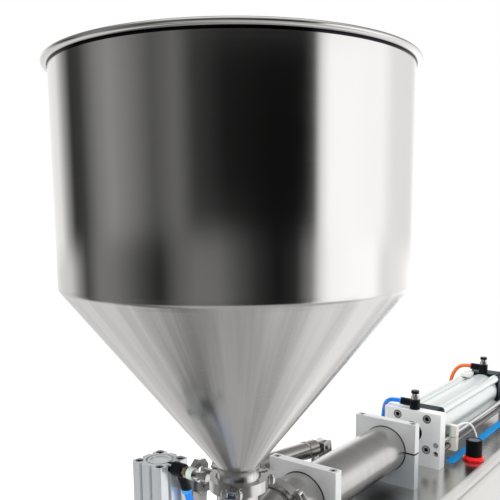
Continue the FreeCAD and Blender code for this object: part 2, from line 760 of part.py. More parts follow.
def flange_clamps():
    """The hopper's clamp and the pump cylinder's clamp, with both gaskets."""
    links = []
    bolts = []
    places = (("hopper", "hopper_flange_radius", "hopper_bolt_angle", ("hopper_x", 0, HOPPER_Z), "Z"),
              ("cylinder", "pump_flange_radius", "pump_bolt_angle",
               (BORE_X + "-gasket_thickness/2", 0, AXIS_Z), "X"))
    for name, flange, angle, place, along in places:
        segments, pair, bolt, nut = ferrule_clamp(flange, angle)
        node(name + "_clamp_segments", put(together(*segments), *place, along))
        links.append(put(together(*pair), *place, along))
        bolts.append(put(together(bolt), *place, along))
        node(name + "_wing_nut", put(together(nut), *place, along))
    node("clamp_links", together(*links))
    node("swing_bolts", together(*bolts))
    hopper_gasket = turned([("neck_bore", "0-gasket_thickness/2"), ("hopper_flange_radius-1", "0-gasket_thickness/2"),
                            ("hopper_flange_radius-1", "gasket_thickness/2"), ("neck_bore", "gasket_thickness/2")],
                           "hopper_x", 0, HOPPER_Z)
    pump_gasket = turned([("pump_radius-pump_wall", "0-gasket_thickness"), ("pump_flange_radius-1", "0-gasket_thickness"),
                          ("pump_flange_radius-1", 0), ("pump_radius-pump_wall", 0)], BORE_X, 0, AXIS_Z, "X")
    node("clamp_gaskets", together(hopper_gasket, pump_gasket))


# Valve

def valve():
    """Three-way valve body, its turning plug, its end cap and its slotted crank."""
    half = "valve_half"
    barrel = bar("valve_radius", "valve_half*2", "hopper_x", f"0-{half}", AXIS_Z, "Y")
    rear = "(pump_joint_reach-gasket_thickness)"
    slope = f"({rear}-flange_edge-(pump_flange_radius-pump_radius-2)*flange_slope)"
    cone = turned([(0, 0), ("cone_small_radius", 0), ("cone_small_radius", "cone_start"),
                   ("pump_radius+2", f"{slope}-6"), ("pump_radius+2", slope),
                   ("pump_flange_radius", f"{rear}-flange_edge"), ("pump_flange_radius", rear), (0, rear)],
                  "hopper_x", 0, AXIS_Z, "X")
    top = "(hopper_joint-gasket_thickness/2)"
    rise = f"({top}-flange_edge-(hopper_flange_radius-neck_radius-1.5)*flange_slope)"
    neck = turned([(0, 0), ("neck_radius+1.5", 0), ("neck_radius+1.5", rise),
                   ("hopper_flange_radius", f"{top}-flange_edge"), ("hopper_flange_radius", top), (0, top)],
                  "hopper_x", 0, AXIS_Z)
    outlet = bar("outlet_radius", "outlet_reach", "hopper_x", 0, AXIS_Z, "-X")
    outside = joined(barrel, cone, neck, outlet)
    chamber = bar("rotor_radius+run_gap", "valve_half*2-valve_floor", "hopper_x", f"0-{half}", AXIS_Z, "Y")
    stem = bar("stem_radius+run_gap", "valve_half+2", "hopper_x", 0, AXIS_Z, "Y")
    throat = turned([(0, 0), ("port_radius", 0), ("port_radius", "cone_start+2"),
                     ("pump_radius-pump_wall", f"{slope}-2"), ("pump_radius-pump_wall", f"{rear}+1"),
                     (0, f"{rear}+1")], "hopper_x", 0, AXIS_Z, "X")
    feed = bar("port_radius-1", "valve_radius", "hopper_x", 0, AXIS_Z)
    mouth = turned([(0, 0), ("port_radius-1", 0), ("neck_bore", 12), ("neck_bore", "hopper_joint-30"),
                    (0, "hopper_joint-30")], "hopper_x", 0, AXIS_Z + "+31")
    drain = bar("outlet_bore", "outlet_reach+2", "hopper_x", 0, AXIS_Z, "-X")
    node("valve_body", cut(outside, chamber, stem, throat, feed, mouth, drain))

    low = "(4+free_gap-valve_half)"
    high = "(valve_half-valve_floor-free_gap)"
    shaft = "(crank_side+crank_thickness/2+6)"
    solid = turned([(0, low), ("rotor_radius", low), ("rotor_radius", high), ("stem_radius", high),
                    ("stem_radius", shaft), (0, shaft)], "hopper_x", 0, AXIS_Z, "Y")
    room = drive(fresh("Part::Cylinder", "plug_room"), Radius="rotor_radius+2",
                 Height=f"{high}-{low}-rotor_disc*2", Angle="360-plug_sweep")
    spin = 135 - mm("plug_sweep") / 2
    room.Placement = FreeCAD.Placement(FreeCAD.Vector(0, 0, 0), FreeCAD.Rotation(UNIT, -spin))
    holder = put(together(room), "hopper_x", f"{low}+rotor_disc", AXIS_Z, "Y")
    node("valve_rotor", cut(solid, holder))

    disc = turned([(0, 0), ("rotor_radius-free_gap", 0), ("rotor_radius-free_gap", 4), ("valve_radius", 4),
                   ("valve_radius", "4+cap_flange-1.5"), ("valve_radius-1.5", "4+cap_flange"),
                   (0, "4+cap_flange")], "hopper_x", f"4-{half}", AXIS_Z, "-Y")
    grip = six_sided("cap_hex", 9, "hopper_x", f"0-{half}-cap_flange+1", AXIS_Z, "-Y")
    node("valve_end_cap", joined(disc, grip))

    thick = "crank_thickness"
    lever = padded([("0-crank_width/2-1", 0), ("crank_width/2+1", 0), ("crank_width/2", "crank_tip-8"),
                    ("crank_width/2-7", "crank_tip"), ("7-crank_width/2", "crank_tip"),
                    ("0-crank_width/2", "crank_tip-8")], thick, 0, 0, 0)
    hub = bar("hub_radius", f"{thick}+10", 0, 0, "0-10")
    slot = block("0-crank_slot/2", "crank_radius-pin_radius-0.5+crank_slot/2", "0-1", "crank_slot",
                 "crank_slot_end-crank_radius+pin_radius+0.5-crank_slot", "crank_thickness+2")
    slot_ends = [bar("crank_slot/2", "crank_thickness+2", 0, y, "0-1")
                 for y in ("crank_radius-pin_radius-0.5+crank_slot/2", "crank_slot_end-crank_slot/2")]
    eye = bar("stem_radius", 40, 0, 0, "0-20")
    arm = cut(joined(lever, hub), slot, *slot_ends, eye)
    spot = together(arm)
    tilt = FreeCAD.Rotation(FreeCAD.Vector(0, 1, 0), mm("line_tilt"))
    upright = FreeCAD.Rotation(FreeCAD.Vector(1, 0, 0), 90)
    spot.Placement = FreeCAD.Placement(FreeCAD.Vector(), tilt.multiply(upright))
    spot.setExpression("Placement.Base.x", bound("hopper_x"))
    spot.setExpression("Placement.Base.y", bound("crank_side+crank_thickness/2"))
    spot.setExpression("Placement.Base.z", bound(AXIS_Z))
    node("crank_arm", spot)


def on_line(thing):
    """Lay a piece made round the crank pin along the tilted actuator line."""
    tilt = FreeCAD.Rotation(FreeCAD.Vector(0, 1, 0), mm("line_tilt"))
    thing.Placement = FreeCAD.Placement(FreeCAD.Vector(), tilt)
    thing.setExpression("Placement.Base.x", bound("hopper_x+crank_radius*sin(line_tilt)"))
    thing.setExpression("Placement.Base.y", bound("crank_side"))
    thing.setExpression("Placement.Base.z", bound(f"{AXIS_Z}+crank_radius*cos(line_tilt)"))
    return thing


def valve_actuator():
    """Round air cylinder that turns the crank, with its fork, rod and rear bracket."""
    fork = block("0-fork_nose", "0-fork_width/2", "0-fork_height/2", "fork_length+fork_nose",
                 "fork_width", "fork_height")
    throat = block("0-fork_nose-1", "0-crank_thickness/2-free_gap", "0-fork_height", "fork_throat+fork_nose+1",
                   "crank_thickness+free_gap*2", "fork_height*2")
    pin = bar("pin_radius", "fork_width+4", 0, "0-fork_width/2-2", 0, "Y")
    lock = six_sided(9, 7, "fork_length", 0, 0, "X")
    piston_at = "(actuator_front+actuator_cap+actuator_tube/2-7)"
    rod = bar("actuator_rod_radius", f"{piston_at}-fork_length+14", "fork_length", 0, 0, "X")
    head = bar("actuator_bore-run_gap", 14, piston_at, 0, 0, "X")
    node("actuator_rod", on_line(joined(cut(fork, throat), pin, lock, rod, head)))

    front = "actuator_front"
    tube = "(actuator_front+actuator_cap)"
    back = f"({tube}+actuator_tube)"
    end = f"({back}+actuator_rear_cap)"
    outer = turned([(0, front), ("actuator_cap_radius-4", front), ("actuator_cap_radius-4", f"{front}+4"),
                    ("actuator_cap_radius", f"{front}+5"), ("actuator_cap_radius", f"{tube}-1.5"),
                    ("actuator_radius", tube), ("actuator_radius", back),
                    ("actuator_cap_radius", f"{back}+1.5"), ("actuator_cap_radius", f"{end}-8"),
                    ("actuator_cap_radius-4", end), (0, end)], 0, 0, 0, "X")
    lug = block(f"{end}-1", "0-lug_thickness/2", "0-actuator_radius+3", "actuator_lug+1", "lug_thickness",
                "actuator_radius*2-6")
    lug_end = bar("actuator_radius-3", "lug_thickness", f"{end}+actuator_lug", "0-lug_thickness/2", 0, "Y")
    hollow = bar("actuator_bore", "actuator_tube", tube, 0, 0, "X")
    guide = bar("actuator_rod_radius+run_gap", "actuator_cap+2", f"{front}-1", 0, 0, "X")
    eye = bar("pin_radius+run_gap", "lug_thickness+2", f"{end}+actuator_lug", "0-lug_thickness/2-1", 0, "Y")
    node("actuator_cylinder", on_line(cut(joined(outer, lug, lug_end), hollow, guide, eye)))

    reach = f"({end}+actuator_lug)"
    pivot_x = f"(hopper_x+crank_radius*sin(line_tilt)+{reach}*cos(line_tilt))"
    pivot_z = f"({AXIS_Z}+crank_radius*cos(line_tilt)-{reach}*sin(line_tilt))"
    foot = block(f"{pivot_x}-bracket_foot_length/2", "crank_side-bracket_foot_width/2", "table_top",
                 "bracket_foot_length", "bracket_foot_width", "bracket_cheek")
    cheeks = []
    for side in (1, -1):
        y = "crank_side+lug_thickness/2+free_gap" if side > 0 else \
            "crank_side-lug_thickness/2-free_gap-bracket_cheek"
        cheek = padded([("0-20", "0-1"), ("20", "0-1"), ("11", f"{pivot_z}-table_top-bracket_cheek+8"),
                        ("0-11", f"{pivot_z}-table_top-bracket_cheek+8")], "bracket_cheek", 0, 0, 0)
        cheeks.append(put(cheek, pivot_x, f"{y}+bracket_cheek", "table_top+bracket_cheek", "-Y"))
    cross = bar("pin_radius", "lug_thickness+bracket_cheek*2+6", pivot_x,
                "crank_side-lug_thickness/2-bracket_cheek-3", pivot_z, "Y")
    node("actuator_bracket", joined(foot, *cheeks, cross))


# Hopper

def hopper():
    """Spun hopper: neck with flange, cone, barrel and rolled rim."""
    joint = "gasket_thickness/2"
    rise = f"({joint}+flange_edge+(hopper_flange_radius-neck_radius-1.5)*flange_slope)"
    weld = "(neck_top-hopper_joint)"
    knee = f"({weld}+cone_height)"
    top = f"({knee}+barrel_height)"
    skew = "hopper_wall*sqrt(1+((hopper_radius-neck_radius)/cone_height)^2)"
    wall = turned([("neck_bore", joint), ("hopper_flange_radius", joint),
                   ("hopper_flange_radius", f"{joint}+flange_edge"), ("neck_radius+1.5", rise),
                   ("neck_radius", f"{rise}+1"), ("neck_radius", weld), ("hopper_radius", knee),
                   ("hopper_radius", top), ("hopper_radius-hopper_wall", top),
                   ("hopper_radius-hopper_wall", f"{knee}+0.3"), (f"neck_radius-({skew})", f"{weld}+0.2"),
                   ("neck_bore", f"{weld}-0.6")], "hopper_x", 0, HOPPER_Z)
    bead = drive(fresh("Part::Torus", "rim"), Radius1="hopper_radius+rim_bead-3", Radius2="rim_bead")
    put(bead, "hopper_x", 0, f"{HOPPER_Z}+{top}+rim_bead-1")
    node("hopper", joined(wall, bead))


# Nozzle

def union_nut(x, y, z, along, bore):
    """Slotted round nut from its first face, threaded over one part and lipped over the other."""
    ring = turned([("outlet_radius+seat_gap", 0), ("nut_radius-1", 0), ("nut_radius", 1),
                   ("nut_radius", "nut_length-1"), ("nut_radius-1", "nut_length"), (bore, "nut_length"),
                   (bore, "nut_length-nut_lip"), ("outlet_radius+seat_gap", "nut_length-nut_lip")], x, y, z, along)
    slots = []
    for turn in (0, 90, 180, 270):
        slot = drive(fresh("Part::Box", "slot"), Length="4", Width="6", Height="nut_length+2")
        slot.Placement = FreeCAD.Placement(FreeCAD.Vector(), FreeCAD.Rotation(UNIT, turn)).multiply(
            FreeCAD.Placement(FreeCAD.Vector(mm("nut_radius") - 3, -3, -1), FreeCAD.Rotation()))
        slots.append(slot)
    return cut(ring, put(together(*slots), x, y, z, along))


def nozzle():
    """Nozzle body, tube, plunger, the air cylinder above it and the two union nuts."""
    side = "cylinder_side"
    plate = rounded(padded(square(side), 8, 0, 0, 0), 3, along_way((0, 0, 1)))
    put(plate, NOZZLE_X, 0, f"{SEAT_Z}-8")
    trunk = turned([(0, "0-nozzle_joint"), ("outlet_radius", "0-nozzle_joint"),
                    ("outlet_radius", "4-nozzle_joint+nut_length/2"),
                    ("nozzle_body_radius", "7-nozzle_joint+nut_length/2"),
                    ("nozzle_body_radius", "cylinder_seat-22"), ("nozzle_body_radius-7", "cylinder_seat-17"),
                    ("nozzle_body_radius-7", "cylinder_seat-7"), (0, "cylinder_seat-7")], NOZZLE_X, 0, AXIS_Z)
    reach = "(nozzle_reach-outlet_reach-free_gap)"
    branch = turned([(0, 0), ("nozzle_body_radius-1", 0), ("nozzle_body_radius-1", f"{reach}-union_flange"),
                     ("outlet_radius-0.4", f"{reach}-union_flange"), ("outlet_radius-0.4", reach), (0, reach)],
                    NOZZLE_X, 0, AXIS_Z, "X")
    well = bar("nozzle_bore", "nozzle_joint+cylinder_seat-26", NOZZLE_X, 0, f"{AXIS_Z}-nozzle_joint-1")
    duct = bar("outlet_bore-1.5", "nozzle_reach", NOZZLE_X, 0, AXIS_Z, "X")
    gland = bar("plunger_radius+run_gap", 60, NOZZLE_X, 0, f"{SEAT_Z}-40")
    node("nozzle_body", cut(joined(plate, trunk, branch), well, duct, gland))

    top = "(table_top+axis_height-nozzle_joint-nozzle_end-free_gap)"
    tube = turned([("nozzle_tube_radius-nozzle_tube_wall", top), ("outlet_radius-0.4", top),
                   ("outlet_radius-0.4", f"{top}-union_flange"), ("nozzle_tube_radius", f"{top}-union_flange"),
                   ("nozzle_tube_radius", "tip_length+8"), ("tip_radius", 6), ("tip_radius", 0),
                   ("tip_bore+0.5", 0), ("tip_bore", 3), ("tip_bore", 8),
                   ("nozzle_tube_radius-nozzle_tube_wall", "tip_length+8")], NOZZLE_X, 0, "nozzle_end")
    node("nozzle_tube", tube)
    grip = "(nut_length-nut_lip-union_flange-free_gap*2)"
    upper = union_nut(f"hopper_x-outlet_reach+{grip}", 0, AXIS_Z, "-X", "nozzle_body_radius-0.9")
    lower = union_nut(NOZZLE_X, 0, f"{AXIS_Z}-nozzle_joint+{grip}", "-Z", "nozzle_tube_radius+seat_gap")
    node("union_nuts", together(upper, lower))

    piston_z = f"({SEAT_Z}+cylinder_height-28)"
    rod = bar("plunger_radius", f"{piston_z}-nozzle_end-2", NOZZLE_X, 0, "nozzle_end+2")
    head = bar("cylinder_bore-run_gap", 12, NOZZLE_X, 0, piston_z)
    stopper = turned([(0, "0-5"), (3, "0-5"), ("tip_bore+1.6", "0-1.6"), ("tip_bore+1.6", "0-0.3"),
                      ("tip_bore-0.4", "0-0.3"), ("tip_bore-0.4", 3), (0, 5)], NOZZLE_X, 0, "nozzle_end")
    node("nozzle_plunger", joined(rod, head, stopper))

    case = rounded(padded(square(side), "cylinder_height", 0, 0, 0), 3, along_way((0, 0, 1)))
    put(case, NOZZLE_X, 0, SEAT_Z)
    bore = bar("cylinder_bore", "cylinder_height-8-10", NOZZLE_X, 0, f"{SEAT_Z}+8")
    pilot = bar("plunger_radius+run_gap", 20, NOZZLE_X, 0, f"{SEAT_Z}-5")
    ring = turned([("cylinder_bore-1.2", 0), ("cylinder_bore+1", 0), ("cylinder_bore+1", 3),
                   ("cylinder_bore-1.2", 3)], NOZZLE_X, 0, f"{SEAT_Z}+cylinder_height-1.4")
    dish = bar("cylinder_bore-4", 3, NOZZLE_X, 0, f"{SEAT_Z}+cylinder_height-0.8")
    corners = [(f"{NOZZLE_X}{a}cylinder_screw_side", f"0{b}cylinder_screw_side") for a in "+-" for b in "+-"]
    sinks = [bar(4.3, 12, x, y, f"{SEAT_Z}+cylinder_height-6") for x, y in corners]
    shanks = [bar("2.5+seat_gap", "cylinder_height", x, y, f"{SEAT_Z}+cylinder_height-30") for x, y in corners]
    port = bar(6, 9, NOZZLE_X, "0-cylinder_side/2-1", "nozzle_port_z", "Y")
    grooves = []
    for place in ("7.2", "0-7.2"):
        for x, y, wide, deep in ((f"{NOZZLE_X}+{place}-2.2", "cylinder_side/2-3.2", 4.4, 5),
                                 (f"{NOZZLE_X}+{place}-2.2", "0-cylinder_side/2-1.8", 4.4, 5),
                                 (f"{NOZZLE_X}+cylinder_side/2-3.2", f"{place}-2.2", 5, 4.4),
                                 (f"{NOZZLE_X}-cylinder_side/2-1.8", f"{place}-2.2", 5, 4.4)):
            grooves.append(block(x, y, f"{SEAT_Z}-1", wide, deep, "cylinder_height+2"))
    node("nozzle_cylinder", cut(case, bore, pilot, ring, dish, port, *sinks, *shanks, *grooves))
    return [socket_screw("5", 23, x, y, f"{SEAT_Z}+cylinder_height-6", "-Z") for x, y in corners]


# Main air cylinder

def main_air_cylinder():
    """Mount block, profile-barrel air cylinder and its screws."""
    half = "block_width/2"
    slab = block(BLOCK_X, "-" + half, "table_top", "block_thickness", "block_width", "block_height")
    corners = [(f"0{a}tie_side", f"{AXIS_Z}{b}tie_side") for a in "+-" for b in "+-"]
    hole = bar("block_bore", "block_thickness+4", f"{BLOCK_X}-2", 0, AXIS_Z, "X")
    recess = bar("collar_radius+seat_gap", "collar_length+2", f"{CAP_X}-collar_length", 0, AXIS_Z, "X")
    sinks = [bar(6.8, "tie_head+2", f"{BLOCK_X}-2", y, z, "X") for y, z in corners]
    shanks = [bar("4+seat_gap", "block_thickness+4", f"{BLOCK_X}-2", y, z, "X") for y, z in corners]
    rail_holes = [bar("rail_radius+run_gap", "block_thickness+4", f"{BLOCK_X}-2", "0-rail_side", z, "X")
                  for z in (RAIL_Z, SCREW_Z)]
    air_port = bar(6, 9, f"{BLOCK_X}+block_thickness/2", 0, f"{BLOCK_TOP}-8")
    node("mount_block", cut(slab, hole, recess, *sinks, *shanks, *rail_holes, air_port))
    screws = [socket_screw("8", "27", f"{BLOCK_X}+tie_head", y, z, "X") for y, z in corners]

    def cap(x):
        body = rounded(padded(square("cap_side"), "cap_length", 0, 0, 0), "cap_corner", along_way((0, 0, 1)))
        return put(body, x, 0, AXIS_Z, "X")

    collar = bar("collar_radius", "collar_length", f"{CAP_X}-collar_length", 0, AXIS_Z, "X")
    guide = bar("main_rod_radius+run_gap", "block_thickness+cap_length+4", f"{BLOCK_X}-2", 0, AXIS_Z, "X")
    threads = [bar("4+seat_gap", 18.4, f"{CAP_X}-1", y, z, "X") for y, z in corners]
    node("air_front_cap", cut(joined(cap(CAP_X), collar), guide, *threads))
    tube = bar("barrel_radius", "barrel_length", BARREL_X, 0, AXIS_Z, "X")
    lobes = [bar("lobe_radius", "barrel_length", BARREL_X, y, z, "X") for y, z in corners]
    hollow = bar("barrel_bore", "barrel_length+4", f"{BARREL_X}-2", 0, AXIS_Z, "X")
    ribs = [block(BARREL_X, f"0{a}tie_side-1.5", f"{AXIS_Z}-tie_side-lobe_radius+0.7", "barrel_length", 3,
                  "tie_side*2+lobe_radius*2-1.4") for a in "+-"]
    node("air_barrel", cut(joined(tube, *lobes, *ribs), hollow))
    back_sinks = [bar(6.8, 12, f"{BACK_CAP_X}+cap_length-9", y, z, "X") for y, z in corners]
    back_shanks = [bar("4+seat_gap", 20, f"{BACK_CAP_X}+cap_length-24", y, z, "X") for y, z in corners]
    port = bar(6, 12, REAR_PORT_X, 0, f"{AXIS_Z}+cap_side/2-8")
    node("air_rear_cap", cut(cap(BACK_CAP_X), *back_sinks, *back_shanks, port))
    screws += [socket_screw("8", "14", f"{BACK_CAP_X}+cap_length-9", y, z, "-X") for y, z in corners]
    return screws


def stroke_setting():
    """Guide rod, adjusting screw with its knob, travelling sensor bracket and scale strip."""
    y = "0-rail_side"
    node("guide_rod", bar("rail_radius", f"{SUPPORT_X}+support_thickness-{BLOCK_X}-0.4", f"{BLOCK_X}+0.4", y, RAIL_Z, "X"))
    start = f"({BLOCK_X}+screw_end_set)"
    knob_x = f"({SUPPORT_X}+support_thickness+knob_gap)"
    node("adjusting_screw", bar("rail_radius", f"{knob_x}+volume_knob_length-2-{start}", start, y, SCREW_Z, "X"))
    plate = rounded(padded(rectangle("support_height", "support_width"), "support_thickness", 0, 0, 0), 4,
                    lambda edge: along_way((0, 0, 1))(edge) and edge.Vertexes[0].Point.x < 0)
    put(plate, SUPPORT_X, y, "table_top+support_height/2", "X")
    holes = [bar("rail_radius+run_gap", "support_thickness+4", f"{SUPPORT_X}-2", y, z, "X")
             for z in (RAIL_Z, SCREW_Z)]
    node("screw_support", cut(plate, *holes))
    wheel = turned([("rail_radius", 0), ("rail_radius+5", 0), ("rail_radius+5", 3), ("volume_knob_radius-1", 3),
                    ("volume_knob_radius", 4), ("volume_knob_radius", "volume_knob_length-1"),
                    ("volume_knob_radius-1", "volume_knob_length"), (0, "volume_knob_length"),
                    (0, "volume_knob_length-2"), ("rail_radius", "volume_knob_length-2")],
                   knob_x, y, SCREW_Z, "X")
    scallops = []
    for index in range(8):
        turn = math.radians(45 * index)
        scallop = drive(fresh("Part::Cylinder", "scallop"), Radius="4", Height="volume_knob_length+2")
        reach = mm("volume_knob_radius") + 2.4
        scallop.Placement.Base = FreeCAD.Vector(reach * math.cos(turn), reach * math.sin(turn), 2.9)
        scallops.append(scallop)
    node("volume_knob", cut(wheel, put(together(*scallops), knob_x, y, SCREW_Z, "X")))

    low = f"({AXIS_Z}+5-bracket_height)"
    clip = block(BRACKET_X, "0-rail_side-bracket_width/2-3", low, "bracket_thickness", "bracket_width",
                 "bracket_height")
    gaps = [bar("rail_radius+run_gap", "bracket_thickness+4", f"{BRACKET_X}-2", y, z, "X")
            for z in (RAIL_Z, SCREW_Z)]
    split = block(f"{BRACKET_X}-1", "0-rail_side-0.8-rail_radius*3", f"{RAIL_Z}-0.8",
                  "bracket_thickness+2", "rail_radius*3", 1.6)
    node("sensor_bracket", cut(clip, *gaps, split))
    body = block(f"{BRACKET_X}-switch_thickness", "0-rail_side-switch_width/2", f"{AXIS_Z}+6-switch_height",
                 "switch_thickness", "switch_width", "switch_height")
    screw = bar(2.6, 2, f"{BRACKET_X}-switch_thickness", y, f"{AXIS_Z}-6", "-X")
    room = bar("rail_radius+1", 20, f"{BRACKET_X}-12", y, RAIL_Z, "X")
    node("travel_switch", joined(cut(body, room), screw))
    lobe_top = f"({AXIS_Z}+tie_side+lobe_radius)"
    clamp = block(f"{BACK_CAP_X}-52", "tie_side-19", f"{lobe_top}+free_gap", 26, 18, 7)
    cell = block(f"{BACK_CAP_X}-47", "tie_side-15", f"{lobe_top}+free_gap+7", 22, 8, 5)
    node("end_switch", joined(clamp, cell))
    node("scale_strip", block(f"{BARREL_X}-strip_lead", "0-strip_side-strip_width/2", "table_top",
                              "strip_lead+barrel_length+cap_length", "strip_width", "strip_thickness"))


# Flow controls, hoses and fittings

def flow_control(x, y, z, along, port_turn, grow="1"):
    """Body with a side port, silver nut and stem, and the knob, from its seat."""
    shell = turned([(0, "0-7"), (5.5, "0-7"), (5.5, 0), (f"valve_body_radius*{grow}-1", 0),
                    (f"valve_body_radius*{grow}", 1), (f"valve_body_radius*{grow}", f"valve_body_height*{grow}"),
                    (0, f"valve_body_height*{grow}")], 0, 0, 0)
    arm = drive(fresh("Part::Cylinder", "port"), Radius=f"valve_port_radius*{grow}", Height="valve_port_reach")
    arm.Placement.Rotation = FreeCAD.Rotation(FreeCAD.Vector(0, 1, 0), 90)
    arm.setExpression("Placement.Base.z", bound(f"valve_port_height*{grow}"))
    turned_arm = together(arm)
    turned_arm.Placement = FreeCAD.Placement(FreeCAD.Vector(), FreeCAD.Rotation(UNIT, port_turn))
    case = joined(shell, turned_arm)
    top = f"valve_body_height*{grow}"
    hexagon = six_sided(f"valve_nut_radius*{grow}", f"valve_nut_height*{grow}", 0, 0, top)
    spindle = bar(f"valve_stem_radius*{grow}", f"(valve_nut_height+valve_stem_height)*{grow}", 0, 0, top)
    stem = joined(hexagon, spindle)
    seat = f"(valve_body_height+valve_nut_height+1)*{grow}"
    knob = turned([(f"valve_stem_radius*{grow}+run_gap", seat),
                   (f"valve_knob_radius*{grow}-1.2", seat),
                   (f"valve_knob_radius*{grow}-1.2", f"{seat}+3*{grow}"),
                   (f"valve_knob_radius*{grow}", f"{seat}+4*{grow}"),
                   (f"valve_knob_radius*{grow}", f"{seat}+valve_knob_height*{grow}"),
                   (f"valve_knob_radius*{grow}-1", f"{seat}+(valve_knob_height+1)*{grow}"),
                   (0, f"{seat}+(valve_knob_height+1)*{grow}"),
                   (0, f"{seat}+valve_stem_height*{grow}"),
                   (f"valve_stem_radius*{grow}+run_gap", f"{seat}+valve_stem_height*{grow}")], 0, 0, 0)
    if grow != "1":
        knob = turned([(f"valve_stem_radius*{grow}+run_gap", seat), ("needle_collar_radius-0.8", seat),
                       ("needle_collar_radius", f"{seat}+0.8"),
                       ("needle_collar_radius", f"{seat}+needle_collar_length-2"),
                       ("needle_collar_radius-2", f"{seat}+needle_collar_length"),
                       ("needle_stem_radius", f"{seat}+needle_collar_length"),
                       ("needle_stem_radius", f"{seat}+needle_length-8"),
                       ("needle_grip_radius", f"{seat}+needle_length-7"),
                       ("needle_grip_radius", f"{seat}+needle_length-0.8"),
                       ("needle_grip_radius-0.8", f"{seat}+needle_length"), (0, f"{seat}+needle_length"),
                       (0, f"{seat}+valve_stem_height*{grow}"),
                       (f"valve_stem_radius*{grow}+run_gap", f"{seat}+valve_stem_height*{grow}")], 0, 0, 0)
    return [put(together(piece), x, y, z, along) for piece in (case, stem, knob)]


def cord(label, route, radius):
    """Tube of straight runs and tangent arcs along a route of chosen points."""
    points = [FreeCAD.Vector(*point) for point in route]
    edges = []
    bends = []
    start = points[0]
    for before, corner, after in zip(points, points[1:], points[2:]):
        come = (corner - before).normalize()
        leave = (after - corner).normalize()
        half = come.getAngle(leave) / 2
        reach = 0.45 * min((corner - before).Length, (after - corner).Length)
        bend = reach / math.tan(half)
        bends.append(bend)
        first = corner - come * reach
        last = corner + leave * reach
        inward = (leave - come).normalize()
        middle = corner + inward * (bend / math.cos(half) - bend)
        edges.append(Part.LineSegment(start, first).toShape())
        edges.append(Part.Arc(first, middle, last).toShape())
        start = last
    edges.append(Part.LineSegment(start, points[-1]).toShape())
    path = Part.Wire(edges)
    ring = Part.Wire(Part.makeCircle(radius, points[0], points[1] - points[0]))
    tube = path.makePipeShell([ring], True, False)
    wanted = math.pi * radius ** 2 * path.Length
    print(f"{label}: length {path.Length:.1f}, tightest bend {min(bends):.1f}, "
          f"volume ratio {tube.Volume / wanted:.4f}")
    thing = DOC.addObject("Part::Feature", label + "_tube")
    thing.Shape = tube
    thing.Placement = FreeCAD.Placement()
    return node(label, thing)


